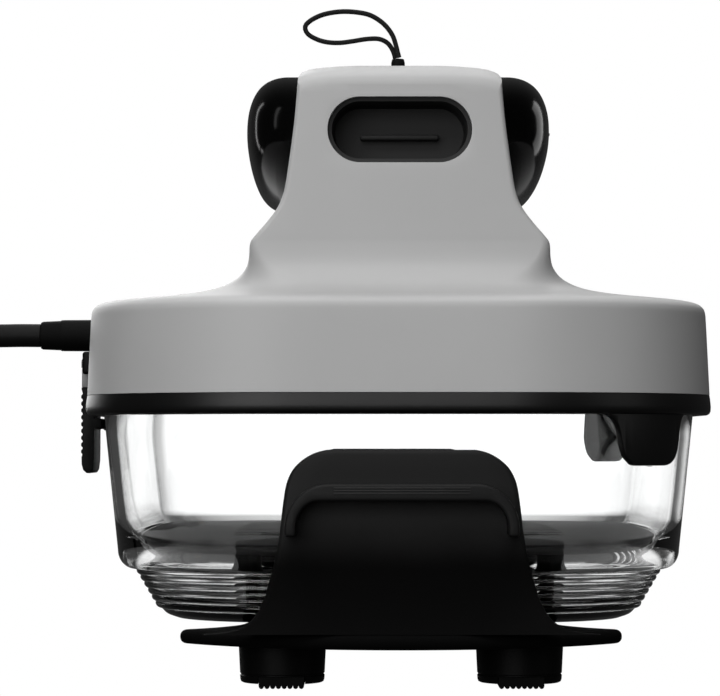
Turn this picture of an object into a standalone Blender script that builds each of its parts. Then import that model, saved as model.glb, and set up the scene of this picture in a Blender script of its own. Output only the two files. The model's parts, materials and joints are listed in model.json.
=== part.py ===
"""Portable glass-bowl air fryer, as separate solids.

A grey heater head with a carrying band sits on a clear glass bowl, which stands in a black
carrying stand. Metres, +Z up. The origin is the centre of the machine's box, on the surface
it stands on; +X is the control side, -X is the side of the latch and the mains lead.
"""

from math import copysign, cos, pi, radians, sin, tan

import bmesh
import bpy
from mathutils import Matrix, Vector

MM = 0.001
GAP = 0.3 * MM

# Head outline, seen from above
HEAD_HALF_X = 117.5 * MM
HEAD_HALF_Y = 140.0 * MM
HEAD_CORNER = 78.0 * MM
CORNER_STEPS = 6

# Heights
BASE_PLATE_Z = (15.2 * MM, 20.2 * MM)
BOWL_BOTTOM_Z = 20.5 * MM
RIB_TOP_Z = 39.0 * MM
BOWL_TOP_Z = 98.4 * MM
RIM_Z = (96.4 * MM, 103.9 * MM)

# Bowl
WALL_DRAFT = radians(6.0)
BOWL_INSET = 6.0 * MM
GLASS_WALL = 4.0 * MM
RIB_COUNT = 6
RIB_PITCH = 2.45 * MM
RIB_STEP_IN = 1.43 * MM
SHOULDER_R = 7.0 * MM
SHOULDER_IN = 5.8 * MM

# Tower, band and pods
SHELL_WALL = 3.0 * MM
TOWER_HALF_Y = 112.0 * MM
POD_Z = 204.2 * MM
POD_HALF_Z = 25.0 * MM
POD_HALF_Y = 92.0 * MM
POD_BASE_X = 34.0 * MM
POD_OUTER_X = 58.0 * MM
GRIP_Z = 200.0 * MM
GRIP_HALF_X = 26.3 * MM
GRIP_HALF_Z = 12.0 * MM
GRIP_DEPTH = 19.0 * MM

# Stand
FOOT_X = 42.0 * MM
FOOT_Y = 134.0 * MM
FOOT_R = (15.5 * MM, 14.85 * MM)
FOOT_BOTTOM_Z = 1.5 * MM
TREAD_HALF_X = 8.0 * MM
TREAD_TOP_Z = 4.1 * MM
TREAD_TEETH = 8
HANDLE_WALL = 4.5 * MM
LIP_REACH = 17.0 * MM

# Latch, on the -X side
LATCH_PIN = Vector((-121.9 * MM, 0.0, 118.0 * MM))
LATCH_PIN_R = 1.2 * MM
LATCH_HALF_Y = 15.0 * MM
LATCH_OUT_X = -125.7 * MM
EAR_Y = (18.3 * MM, 21.3 * MM)

# Mains lead
CORD_D = 9.4 * MM
CORD_Z = 129.0 * MM
RELIEF_END_X = -142.0 * MM
COIL_CENTRE = Vector((-262.5 * MM, -60.0 * MM, 0.0))
COIL_START_R = 43.0 * MM
COIL_TURNS = 2

# The latch stands out on one side only, so the machine's middle is off the bowl's middle.
MACHINE_X = -(LATCH_OUT_X + HEAD_HALF_X) / 2

FINISHES = {
    "head_grey": ((0.36, 0.37, 0.37), 0.42, 0.0),
    "pod_black": ((0.008, 0.008, 0.009), 0.06, 0.0),
    "black_plastic": ((0.012, 0.012, 0.013), 0.45, 0.0),
    "black_rubber": ((0.015, 0.015, 0.015), 0.75, 0.0),
    "cord_black": ((0.012, 0.012, 0.012), 0.6, 0.0),
    "clear_glass": ((0.9, 0.95, 0.94), 0.02, 0.0),
    "bright_steel": ((0.6, 0.6, 0.6), 0.25, 1.0),
    "dark_steel": ((0.12, 0.12, 0.13), 0.35, 1.0),
    "board_green": ((0.02, 0.12, 0.05), 0.5, 0.0),
    "brass": ((0.7, 0.55, 0.25), 0.3, 1.0),
}


def clear_scene():
    for obj in list(bpy.data.objects):
        bpy.data.objects.remove(obj, do_unlink=True)


def collection(name):
    made = bpy.data.collections.new(name)
    bpy.context.scene.collection.children.link(made)
    return made


clear_scene()
PARTS = collection("glass_bowl_air_fryer")
CUTTERS = collection("cutters")


def empty(name, place, parent=None):
    obj = bpy.data.objects.new(name, None)
    obj.location = place
    obj.parent = parent
    PARTS.objects.link(obj)
    return obj


MACHINE = empty("machine", (MACHINE_X, 0.0, 0.0))
LATCH_AXIS = empty("latch_axis", LATCH_PIN, MACHINE)


def add(name, data, finish, parent=MACHINE):
    """Links one named piece with a material of its own."""
    obj = bpy.data.objects.new(name, data)
    obj.parent = parent
    PARTS.objects.link(obj)
    colour, roughness, metallic = FINISHES[finish]
    material = bpy.data.materials.new(name + "_" + finish)
    material.use_nodes = True
    shader = material.node_tree.nodes["Principled BSDF"]
    shader.inputs["Base Color"].default_value = (*colour, 1.0)
    shader.inputs["Roughness"].default_value = roughness
    shader.inputs["Metallic"].default_value = metallic
    if finish == "clear_glass":
        shader.inputs["Transmission Weight"].default_value = 1.0
    data.materials.append(material)
    return obj


def tool(name, data, parent=MACHINE):
    """Links a cutter or a joining shape, which is no piece of the machine."""
    obj = bpy.data.objects.new(name, data)
    obj.parent = parent
    obj.hide_render = True
    obj.display_type = "WIRE"
    CUTTERS.objects.link(obj)
    return obj


def boolean(obj, other, operation):
    modifier = obj.modifiers.new(other.name, "BOOLEAN")
    modifier.operation = operation
    modifier.solver = "EXACT"
    modifier.object = other


def mesh_from(bm, name):
    bmesh.ops.recalc_face_normals(bm, faces=bm.faces)
    mesh = bpy.data.meshes.new(name)
    bm.to_mesh(mesh)
    bm.free()
    mesh.shade_smooth()
    mesh.set_sharp_from_angle(angle=radians(35.0))
    return mesh


def rounded_ring(half_x, half_y, corner, z, shift_y=0.0):
    """A rounded rectangle at height z, as points that run counter-clockwise from +X."""
    corner = min(corner, 0.995 * half_x, 0.995 * half_y)
    points = []
    for sign_x, sign_y, start in ((1, 1, 0), (-1, 1, 90), (-1, -1, 180), (1, -1, 270)):
        for step in range(CORNER_STEPS + 1):
            angle = radians(start + 90.0 * step / CORNER_STEPS)
            x = sign_x * (half_x - corner) + corner * cos(angle)
            y = sign_y * (half_y - corner) + corner * sin(angle)
            points.append(Vector((x, y + shift_y, z)))
    return points


def oval_ring(half_x, half_y, z, power=2.4, count=32):
    """A level ring that is fuller than an ellipse and softer than a rounded rectangle."""
    ring = []
    for index in range(count):
        angle = 2 * pi * (index + 0.5) / count
        across, along = cos(angle), sin(angle)
        x = half_x * copysign(abs(across) ** (2 / power), across)
        y = half_y * copysign(abs(along) ** (2 / power), along)
        ring.append(Vector((x, y, z)))
    return ring


def loft(name, rings, closed=False):
    """A skin through unlike sections: capped at both ends, or closed round on itself."""
    bm = bmesh.new()
    loops = [[bm.verts.new(point) for point in ring] for ring in rings]
    pairs = list(zip(loops, loops[1:]))
    if closed:
        pairs.append((loops[-1], loops[0]))
    else:
        bm.faces.new(loops[0])
        bm.faces.new(loops[-1])
    for lower, upper in pairs:
        for i in range(len(lower)):
            j = (i + 1) % len(lower)
            bm.faces.new((lower[i], lower[j], upper[j], upper[i]))
    return mesh_from(bm, name)


def head_ring(inset, z):
    """The head's own outline moved in by inset, at height z."""
    return rounded_ring(HEAD_HALF_X - inset, HEAD_HALF_Y - inset, HEAD_CORNER - inset, z)


def plate(name, half_x, half_y, corner, z_low, z_high):
    return loft(name, [rounded_ring(half_x, half_y, corner, z) for z in (z_low, z_high)])


def boxes(name, items):
    """One mesh of boxes, each given by its centre, its size and its turn about Z."""
    bm = bmesh.new()
    for centre, size, turn in items:
        place = Matrix.Translation(centre) @ Matrix.Rotation(turn, 4, "Z")
        bmesh.ops.create_cube(bm, size=1.0, matrix=place @ Matrix.Diagonal((*size, 1.0)))
    return mesh_from(bm, name)


def box(name, low, high):
    centre = (Vector(low) + Vector(high)) / 2
    return boxes(name, [(centre, Vector(high) - Vector(low), 0.0)])


def cylinder(name, radius, z_low, z_high, x=0.0, y=0.0, segments=24, radius_top=None):
    bm = bmesh.new()
    place = Matrix.Translation((x, y, (z_low + z_high) / 2))
    top = radius if radius_top is None else radius_top
    bmesh.ops.create_cone(
        bm, cap_ends=True, segments=segments, radius1=radius, radius2=top,
        depth=z_high - z_low, matrix=place)
    return mesh_from(bm, name)


def turned(name, profile, finish, closed=False, segments=24, parent=MACHINE):
    """A turned piece about its own Z: (radius, height) pairs, top to bottom on the outer side."""
    mesh = bpy.data.meshes.new(name)
    edges = [(i, i + 1) for i in range(len(profile) - 1)]
    if closed:
        edges.append((len(profile) - 1, 0))
    mesh.from_pydata([(radius, 0.0, z) for radius, z in profile], edges, [])
    obj = add(name, mesh, finish, parent)
    screw = obj.modifiers.new("turn", "SCREW")
    screw.steps = segments
    screw.render_steps = segments
    screw.use_merge_vertices = True
    screw.merge_threshold = 0.00002
    return obj


def outline_curve(name, outlines, thickness):
    """A flat shape in XY, with holes, as a filled 2D curve with its thickness about Z = 0."""
    curve = bpy.data.curves.new(name, "CURVE")
    curve.dimensions = "2D"
    curve.fill_mode = "BOTH"
    curve.extrude = thickness / 2
    for outline in outlines:
        spline = curve.splines.new("POLY")
        spline.points.add(len(outline) - 1)
        for point, (x, y) in zip(spline.points, outline):
            point.co = (x, y, 0.0, 1.0)
        spline.use_cyclic_u = True
    return curve


def curve_mesh(name, curve, matrix):
    """The curve's own mesh, welded and placed, ready for a Boolean."""
    guide = bpy.data.objects.new(name + "_guide", curve)
    CUTTERS.objects.link(guide)
    graph = bpy.context.evaluated_depsgraph_get()
    mesh = bpy.data.meshes.new_from_object(guide.evaluated_get(graph))
    bpy.data.objects.remove(guide)
    bm = bmesh.new()
    bm.from_mesh(mesh)
    bmesh.ops.remove_doubles(bm, verts=bm.verts, dist=0.00001)
    bmesh.ops.transform(bm, matrix=matrix, verts=bm.verts)
    return mesh_from(bm, name)


def wall_matrix(y):
    """Stands a flat shape up: its x stays X, its y becomes Z, and it lies at this Y."""
    return Matrix.Translation((0.0, y, 0.0)) @ Matrix.Rotation(radians(90.0), 4, "X")


def arc(centre_x, centre_y, radius, start, end, steps):
    turns = [radians(start + (end - start) * i / steps) for i in range(steps + 1)]
    return [(centre_x + radius * cos(a), centre_y + radius * sin(a)) for a in turns]


def route_curve(points, step):
    """Points about a step apart on a smooth curve through the route's own points."""
    padded = [2 * points[0] - points[1], *points, 2 * points[-1] - points[-2]]
    made = [points[0]]
    for p0, p1, p2, p3 in zip(padded, padded[1:], padded[2:], padded[3:]):
        count = max(1, round((p2 - p1).length / step))
        for i in range(1, count + 1):
            t = i / count
            made.append(0.5 * (2 * p1 + (p2 - p0) * t + (2 * p0 - 5 * p1 + 4 * p2 - p3) * t ** 2
                               + (3 * p1 - p0 - 3 * p2 + p3) * t ** 3))
    return made


def tube(name, points, diameter, finish, resolution=2, parent=MACHINE):
    curve = bpy.data.curves.new(name, "CURVE")
    curve.dimensions = "3D"
    curve.bevel_depth = diameter / 2
    curve.bevel_resolution = resolution
    curve.use_fill_caps = True
    spline = curve.splines.new("POLY")
    spline.points.add(len(points) - 1)
    for point, place in zip(spline.points, points):
        point.co = (*place, 1.0)
    return add(name, curve, finish, parent)


# ---------------------------------------------------------------- stand

def stand_base():
    """A flat plate under the bowl, with a bowed end and two wing tips under each handle."""
    wing_x, wing_y, end_y = 77.3 * MM, 139.0 * MM, 176.0 * MM
    waist_x = 56.0 * MM
    sagitta = end_y - wing_y
    radius = (wing_x ** 2 + sagitta ** 2) / (2 * sagitta)
    half_angle = 51.0
    end = arc(0.0, end_y - radius, radius, 90.0 - half_angle, 90.0 + half_angle, 14)
    neck = [(-66.0 * MM, 124.0 * MM), (-59.0 * MM, 108.0 * MM), (-waist_x, 84.0 * MM)]
    mirrored_neck = [(-x, y) for x, y in reversed(neck)]
    half = mirrored_neck + end + neck
    outline = half + [(-x, -y) for x, y in half]
    curve = outline_curve("stand_base", [outline], BASE_PLATE_Z[1] - BASE_PLATE_Z[0])
    obj = add("stand_base", curve, "black_plastic")
    obj.location.z = sum(BASE_PLATE_Z) / 2


def lip_outline():
    """The handle's lip seen from its end: an arch with rounded shoulders and splayed ends."""
    foot_x, foot_z = 42.5 * MM, 54.0 * MM
    wall = 3.1 * MM

    def side(inset):
        corner = 6.0 * MM - inset / 2
        top_x, top_z = 39.5 * MM - inset, 71.8 * MM - inset
        bend = arc(top_x - corner, top_z - corner, corner, 0.0, 90.0, 4)
        return [(foot_x - inset, foot_z)] + bend

    outer = side(0.0)
    inner = side(wall)
    mirrored = [(-x, z) for x, z in reversed(outer)]
    inner_mirrored = [(-x, z) for x, z in inner]
    return outer + mirrored + inner_mirrored + list(reversed(inner))


def handle(name, end):
    """A curved back plate that flares into the base, with the arched lip to carry it by."""
    rows = (
        (20.5, 54.0, -170.0), (23.5, 51.5, -164.5), (28.0, 50.0, -159.5), (36.0, 48.0, -155.5),
        (47.0, 44.5, -153.0), (60.0, 42.2, -152.0), (71.6, 40.5, -151.5), (77.0, 39.0, -151.3),
        (81.0, 35.5, -151.2), (83.0, 31.5, -151.1), (83.6, 28.0, -151.0))
    rings = [
        rounded_ring(half_x * MM, HANDLE_WALL / 2, 1.5 * MM, z * MM, y * MM)
        for z, half_x, y in rows]
    obj = add(name, loft(name, rings), "black_plastic")
    lip = curve_mesh(
        name + "_lip", outline_curve("lip", [lip_outline()], LIP_REACH),
        wall_matrix(-152.5 * MM - LIP_REACH / 2 + 1.5 * MM))
    boolean(obj, tool(name + "_lip", lip, obj), "UNION")
    obj.rotation_euler.z = 0.0 if end < 0 else pi


def foot(name, sign_x, sign_y):
    """A round foot with a slot along Y for its rubber tread."""
    x, y = sign_x * FOOT_X, sign_y * FOOT_Y
    top_z = BASE_PLATE_Z[0] - GAP
    obj = add(
        name, cylinder(name, FOOT_R[1], FOOT_BOTTOM_Z, top_z, x, y, 28, FOOT_R[0]),
        "black_plastic")
    half = TREAD_HALF_X + GAP
    slot = box(name + "_slot", (x - half, y - 0.03, -0.01), (x + half, y + 0.03, TREAD_TOP_Z + GAP))
    boolean(obj, tool(name + "_slot", slot), "DIFFERENCE")


def tread(name, sign_x, sign_y):
    """A rubber strip whose underside is ridged along Y, with flat-topped ridges."""
    pitch = 2 * TREAD_HALF_X / TREAD_TEETH
    root_z = 1.1 * MM
    outline = []
    for tooth in range(TREAD_TEETH):
        left = -TREAD_HALF_X + tooth * pitch
        outline += [(left, root_z), (left + 0.2 * pitch, 0.0)]
        outline += [(left + 0.8 * pitch, 0.0), (left + pitch - 0.01 * MM, root_z)]
    outline += [(TREAD_HALF_X, TREAD_TOP_Z), (-TREAD_HALF_X, TREAD_TOP_Z)]
    curve = outline_curve(name, [outline], 2 * 14.4 * MM)
    obj = add(name, curve, "black_rubber")
    obj.matrix_local = Matrix.Translation(
        (sign_x * FOOT_X, sign_y * FOOT_Y, 0.0)) @ Matrix.Rotation(radians(90.0), 4, "X")


def stand():
    stand_base()
    handle("handle_front", -1)
    handle("handle_back", 1)
    for x_word, sign_x in (("left", -1), ("right", 1)):
        for y_word, sign_y in (("front", -1), ("back", 1)):
            foot(f"foot_{y_word}_{x_word}", sign_x, sign_y)
            tread(f"tread_{y_word}_{x_word}", sign_x, sign_y)


# ---------------------------------------------------------------- bowl

def glass_bowl():
    """A drafted glass wall that rounds in to a stack of ribs, stepping in to a flat bottom."""
    inner = [(34.5, 25.5), (30.0, 27.5), (25.4, 33.0), (21.6, 40.0), (18.2, 45.0), (15.5, 51.5)]
    rings = [head_ring(inset * MM, z * MM) for inset, z in inner]
    rings.append(head_ring(BOWL_INSET + GLASS_WALL, BOWL_TOP_Z))
    rings.append(head_ring(BOWL_INSET, BOWL_TOP_Z))
    shoulder_z = RIB_TOP_Z + SHOULDER_R
    shoulder_inset = BOWL_INSET + (BOWL_TOP_Z - shoulder_z) * tan(WALL_DRAFT)
    for angle in (0.0, 30.0, 60.0, 82.0):
        turn = radians(angle)
        inset = shoulder_inset + SHOULDER_IN * (1.0 - cos(turn))
        rings.append(head_ring(inset, shoulder_z - SHOULDER_R * sin(turn)))
    for rib in range(RIB_COUNT):
        inset = shoulder_inset + SHOULDER_IN + RIB_STEP_IN * rib
        z = RIB_TOP_Z - RIB_PITCH * rib
        rings.append(head_ring(inset, z - RIB_PITCH / 2))
        rings.append(head_ring(inset + 2.0 * MM, z - RIB_PITCH))
    rings.append(head_ring(28.8 * MM, BOWL_BOTTOM_Z + 1.4 * MM))
    rings.append(head_ring(34.0 * MM, BOWL_BOTTOM_Z))
    add("glass_bowl", loft("glass_bowl", rings), "clear_glass")


def crisper():
    """The slotted plate that holds the food off the bowl's floor, on four rubber feet."""
    inset = 20.0 * MM
    plate_z = (47.0 * MM, 48.6 * MM)
    mesh = plate("crisper_plate", HEAD_HALF_X - inset, HEAD_HALF_Y - inset, HEAD_CORNER - inset, *plate_z)
    obj = add("crisper_plate", mesh, "dark_steel")
    slots = []
    for row in range(-6, 7):
        for column in (-1, 0, 1):
            size = (34.0 * MM, 4.5 * MM, 0.02)
            slots.append(((column * 45.0 * MM, row * 13.0 * MM, plate_z[0]), size, 0.0))
    boolean(obj, tool("crisper_slots", boxes("crisper_slots", slots)), "DIFFERENCE")
    for x_word, x in (("left", -56.0 * MM), ("right", 56.0 * MM)):
        for y_word, y in (("front", -86.0 * MM), ("back", 86.0 * MM)):
            name = f"crisper_foot_{y_word}_{x_word}"
            mesh = cylinder(name, 4.0 * MM, 25.8 * MM, plate_z[0] - GAP, x, y, 16, 6.0 * MM)
            add(name, mesh, "black_rubber")


# ---------------------------------------------------------------- head

HOUSING_ROWS = (
    # z, half width, half length, corner
    (104.2, 117.5, 140.0, 78.0), (124.0, 117.4, 139.9, 78.0), (131.0, 116.9, 139.4, 77.6),
    (134.6, 116.0, 138.5, 77.0), (136.8, 114.2, 136.8, 75.6), (138.3, 111.0, 134.0, 73.0),
    (139.4, 103.5, 129.5, 67.0), (140.4, 91.0, 125.2, 55.5), (141.6, 77.5, 121.5, 42.5),
    (143.4, 67.2, 118.3, 31.0), (146.2, 60.2, 115.6, 20.0), (149.8, 56.4, 113.4, 11.0),
    (153.5, 55.1, 112.4, 6.0), (158.8, 54.7, 112.0, 3.5), (161.0, 53.2, 112.0, 3.0),
    (166.0, 48.9, 112.0, 3.0), (171.0, 45.0, 112.0, 2.8), (175.0, 43.0, 112.0, 2.5),
    (181.4, 41.4, 112.0, 2.5), (200.0, 38.8, 112.0, 2.5), (212.0, 37.6, 112.0, 2.5),
    (245.0, 35.2, 112.0, 2.5))
HOLLOW_TOP_ROWS = (
    (216.0, 34.0, 106.0, 2.0), (221.0, 33.6, 84.0, 2.0), (226.0, 33.0, 50.0, 2.0), (229.0, 32.0, 20.0, 2.0))
# The band's top seen from the side: y, z
CROWN_ROWS = (
    (112.0, 217.4), (111.3, 220.0), (109.3, 221.6), (105.0, 222.8), (88.0, 225.8), (70.0, 228.4),
    (50.0, 230.9), (30.0, 232.7), (10.0, 233.6))
# How far the band's top falls towards its edges: x, drop
CROWN_DROPS = ((19.0, 0.1), (28.0, 0.7), (33.7, 1.5), (37.4, 3.0), (44.0, 6.6))


def crown(name):
    """What is cut off above the band's arched top."""
    near = [(-y, z) for y, z in CROWN_ROWS]
    profile = [(-130.0, 208.0)] + near + [(y, z) for y, z in reversed(CROWN_ROWS)] + [(130.0, 208.0)]
    drops = [(-x, drop) for x, drop in reversed(CROWN_DROPS)] + list(CROWN_DROPS)
    rings = []
    for x, drop in drops:
        ring = [Vector((x * MM, y * MM, (z - drop) * MM)) for y, z in profile]
        rings.append(ring + [Vector((x * MM, y, 0.26)) for y in (0.13, -0.13)])
    return loft(name, rings)


def head_housing():
    """The grey moulding: low slab, bell-shaped neck, and the band that crosses the top."""
    outer = [rounded_ring(a * MM, b * MM, r * MM, z * MM) for z, a, b, r in HOUSING_ROWS]
    wall = SHELL_WALL / MM
    hollow = [
        rounded_ring((a - wall) * MM, (b - wall) * MM, max(r - wall, 1.0) * MM, (z - wall * (z > 130.0)) * MM)
        for z, a, b, r in HOUSING_ROWS[:-1]]
    hollow += [rounded_ring(a * MM, b * MM, r * MM, z * MM) for z, a, b, r in HOLLOW_TOP_ROWS]
    obj = add("head_housing", loft("head_housing", list(reversed(hollow)) + outer), "head_grey")
    boolean(obj, tool("crown", crown("crown")), "DIFFERENCE")
    for side, sign in (("right", 1), ("left", -1)):
        name = f"pod_window_{side}"
        rings = [
            oval_ring(POD_HALF_Z + GAP, POD_HALF_Y + GAP, x)
            for x in (POD_BASE_X - 1.0 * MM, POD_OUTER_X + 10.0 * MM)]
        window = tool(name, loft(name, rings))
        window.matrix_local = pod_matrix(sign)
        boolean(obj, window, "DIFFERENCE")
    for side, sign in (("front", -1), ("back", 1)):
        name = f"grip_window_{side}"
        rings = [
            rounded_ring(GRIP_HALF_X, GRIP_HALF_Z, GRIP_HALF_Z, z)
            for z in (TOWER_HALF_Y - 8.0 * MM, TOWER_HALF_Y + 8.0 * MM)]
        window = tool(name, loft(name, rings))
        window.matrix_local = grip_matrix(sign)
        boolean(obj, window, "DIFFERENCE")


def pod_matrix(sign):
    """Turns a shape built along Z to point out of the head's side."""
    return Matrix.Translation((0.0, 0.0, POD_Z)) @ Matrix.Rotation(sign * radians(90.0), 4, "Y")


def grip_matrix(sign):
    """Turns a shape built along Z to point out of the band's end face."""
    return Matrix.Translation((0.0, 0.0, GRIP_Z)) @ Matrix.Rotation(-sign * radians(90.0), 4, "X")


def pod(name, sign):
    """A glossy domed shell, open towards the head, that fills the window in its side."""
    wall = 3.0
    rows = (
        (34.0, 25.0, 92.0), (44.0, 25.0, 92.0), (47.5, 24.2, 91.0), (50.8, 22.5, 88.6), (53.4, 20.0, 85.0),
        (55.4, 16.6, 79.0), (56.8, 12.4, 70.0), (57.7, 7.4, 56.0), (58.0, 3.0, 40.0))
    outer = [oval_ring(b * MM, a * MM, x * MM) for x, b, a in rows]
    hollow = [
        oval_ring((b - wall) * MM, (a - wall) * MM, x * MM)
        for x, b, a in (rows[0], rows[1], (49.0, 21.5, 87.0), (53.4, 13.0, 74.0))]
    obj = add(name, loft(name, list(reversed(hollow)) + outer), "pod_black")
    obj.matrix_local = pod_matrix(sign)
    return obj


def grip_liner(name, sign):
    """A dark stadium-shaped cup for the fingertips, with one thin rib across its floor."""
    wall = 1.5 * MM
    face = TOWER_HALF_Y - 0.6 * MM
    floor = face - GRIP_DEPTH
    half_x, half_z = GRIP_HALF_X - GAP, GRIP_HALF_Z - GAP
    rings = [
        rounded_ring(half_x - wall, half_z - wall, half_z - wall, floor + wall),
        rounded_ring(half_x - wall, half_z - wall, half_z - wall, face),
        rounded_ring(half_x, half_z, half_z, face),
        rounded_ring(half_x, half_z, half_z, floor)]
    obj = add(name, loft(name, rings), "black_plastic")
    obj.matrix_local = grip_matrix(sign)
    rib_z = -1.5 * MM * sign
    low = (-14.5 * MM, rib_z - 1.0 * MM, floor + 0.5 * MM)
    high = (14.5 * MM, rib_z + 1.0 * MM, floor + 6.0 * MM)
    boolean(obj, tool(name + "_rib", box(name + "_rib", low, high), obj), "UNION")


# A tab's lower edge: degrees round the head's corner from +X, share of its full drop
TAB_EDGE = (
    (30.5, 0.0), (33.0, 0.06), (34.6, 0.2), (35.5, 0.4), (36.0, 0.6), (37.0, 0.8), (38.8, 0.93),
    (42.2, 1.0), (53.3, 1.0), (55.8, 0.93), (57.6, 0.8), (58.6, 0.6), (59.2, 0.4), (60.3, 0.2),
    (62.5, 0.06), (65.8, 0.0))
TAB_DROP = 18.9 * MM


def rim_tab(name, sign, turn):
    """A tab that hangs from the rim round a corner of the bowl, with S-curved sides."""
    inner_r, outer_r = HEAD_CORNER - 4.7 * MM, HEAD_CORNER - 1.5 * MM
    centre_x, centre_y = HEAD_HALF_X - HEAD_CORNER, HEAD_HALF_Y - HEAD_CORNER
    root_z = 98.0 * MM
    rings = []
    for degrees_round, share in TAB_EDGE:
        angle = radians(degrees_round - turn)
        low = RIM_Z[0] + 0.2 * MM - TAB_DROP * share
        ring = []
        for radius, z in ((inner_r, low), (outer_r, low), (outer_r, root_z), (inner_r, root_z)):
            x = centre_x + radius * cos(angle)
            ring.append(Vector((x, sign * (centre_y + radius * sin(angle)), z)))
        rings.append(ring)
    return loft(name, rings)


def rim_ring():
    """The black ring under the slab; its skirt goes round the top of the glass."""
    low, high = RIM_Z
    shelf = 100.2 * MM
    section = (
        (1.2, low), (0.0, low + 1.2 * MM), (0.0, high), (21.5, high), (21.5, shelf), (4.9, shelf),
        (4.9, low))
    rings = [head_ring(inset * MM, z) for inset, z in section]
    obj = add("rim_ring", loft("rim_ring", rings, closed=True), "black_plastic")
    for side, sign, turn in (("front", -1, 0.0), ("back", 1, 9.0)):
        name = f"rim_tab_{side}"
        boolean(obj, tool(name, rim_tab(name, sign, turn)), "UNION")


def seal_ring():
    section = ((5.8, 98.7), (5.8, 99.9), (13.0, 99.9), (13.0, 98.7))
    rings = [head_ring(inset * MM, z * MM) for inset, z in section]
    add("seal_ring", loft("seal_ring", rings, closed=True), "black_rubber")


def heater():
    """The bright pan that holds the fan and the element, with its guard below."""
    flange = (21.8 * MM, 101.0 * MM, 102.2 * MM)
    round_rows = ((73.2, 102.2), (71.2, 120.7), (5.0, 120.7), (5.0, 119.5), (70.0, 119.5), (72.0, 101.0))
    rings = [head_ring(flange[0], flange[1]), head_ring(flange[0], flange[2])]
    rings += [rounded_ring(r * MM, r * MM, r * MM, z * MM) for r, z in round_rows]
    add("heater_reflector", loft("heater_reflector", rings, closed=True), "bright_steel")

    inset = 22.0 * MM
    mesh = plate("heater_guard", HEAD_HALF_X - inset, HEAD_HALF_Y - inset, HEAD_CORNER - inset,
                 97.0 * MM, 98.2 * MM)
    guard = add("heater_guard", mesh, "bright_steel")
    slots = []
    for index in range(20):
        angle = 2 * pi * index / 20
        centre = (46.0 * MM * cos(angle), 46.0 * MM * sin(angle), 97.0 * MM)
        slots.append((centre, (44.0 * MM, 5.0 * MM, 0.02), angle))
    boolean(guard, tool("guard_slots", boxes("guard_slots", slots)), "DIFFERENCE")

    turns, steps = 1.8, 36
    coil = []
    for step in range(steps + 1):
        angle = 2 * pi * turns * step / steps
        radius = (62.0 - 16.0 * step / steps) * MM
        coil.append(Vector((radius * cos(angle), radius * sin(angle), 104.8 * MM)))
    tube("heating_element", coil, 6.0 * MM, "dark_steel")


def star_outline(blades, hub, tip, sweep, width):
    """A wheel of swept blades on a hub, as one outline."""
    outline = []
    for blade in range(blades):
        start = 360.0 * blade / blades
        for radius, lag in ((hub, 0.0), (0.6 * tip, 0.5 * sweep), (tip, sweep)):
            angle = radians(start + lag)
            outline.append((radius * cos(angle), radius * sin(angle)))
        for radius, lag in ((tip, sweep), (0.6 * tip, 0.5 * sweep), (hub, 0.0)):
            angle = radians(start + lag) + width / radius
            outline.append((radius * cos(angle), radius * sin(angle)))
    return outline


def rotor():
    """What the motor turns: the hot-air fan, the shaft, the cooling fan and the fan's nut."""
    bore = arc(0.0, 0.0, 3.4 * MM, 0.0, 337.5, 15)
    for name, z, depth, tip, blades in (
            ("circulation_fan", 113.2, 8.0, 54.0, 9), ("cooling_fan", 125.6, 5.0, 38.0, 11)):
        outline = star_outline(blades, 13.0 * MM, tip * MM, 34.0, 2.0 * MM)
        obj = add(name, outline_curve(name, [outline, bore], depth * MM), "bright_steel")
        obj.location.z = z * MM
    add("motor_shaft", cylinder("motor_shaft", 3.0 * MM, 108.2 * MM, 166.0 * MM, segments=16), "bright_steel")
    add("fan_nut", cylinder("fan_nut", 6.0 * MM, 104.0 * MM, 107.9 * MM, segments=6), "bright_steel")


def motor():
    """The fan motor on a bent strap that straddles the cooling fan."""
    turned("fan_motor", [
        (r * MM, z * MM) for r, z in
        ((4.0, 162.0), (12.0, 162.0), (12.0, 160.0), (29.0, 160.0), (30.0, 158.5), (30.0, 134.0),
         (28.0, 132.3), (4.0, 132.3))], "dark_steel", closed=True)
    turned("motor_bearing", [
        (r * MM, z * MM) for r, z in ((3.3, 131.9), (7.0, 131.9), (7.0, 128.9), (3.3, 128.9))],
        "brass", closed=True, segments=16)
    strap = ((-58.0, 121.0), (-46.0, 121.0), (-45.0, 130.6), (45.0, 130.6), (46.0, 121.0), (58.0, 121.0))
    wall = 1.2
    top = [(x * MM, (z + wall) * MM) for x, z in reversed(strap)]
    outline = [(x * MM, z * MM) for x, z in strap] + top
    mesh = curve_mesh("motor_bracket", outline_curve("strap", [outline], 0.03), wall_matrix(0.0))
    bracket = add("motor_bracket", mesh, "bright_steel")
    hole = cylinder("bracket_hole", 8.0 * MM, 0.12, 0.14)
    boolean(bracket, tool("bracket_hole", hole), "DIFFERENCE")


def electronics():
    add("thermostat", cylinder("thermostat", 8.0 * MM, 121.0 * MM, 128.0 * MM, 0.0, 56.0 * MM, 20), "brass")
    add("thermal_cutout", cylinder("thermal_cutout", 5.0 * MM, 121.0 * MM, 127.0 * MM, 0.0, -56.0 * MM, 16),
        "brass")
    for name, x in (("control_board", 28.0 * MM), ("power_board", -29.6 * MM)):
        mesh = box(name, (x, -62.0 * MM, 176.0 * MM), (x + 1.6 * MM, 62.0 * MM, 218.0 * MM))
        add(name, mesh, "board_green")


# ---------------------------------------------------------------- carrying loop

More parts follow.
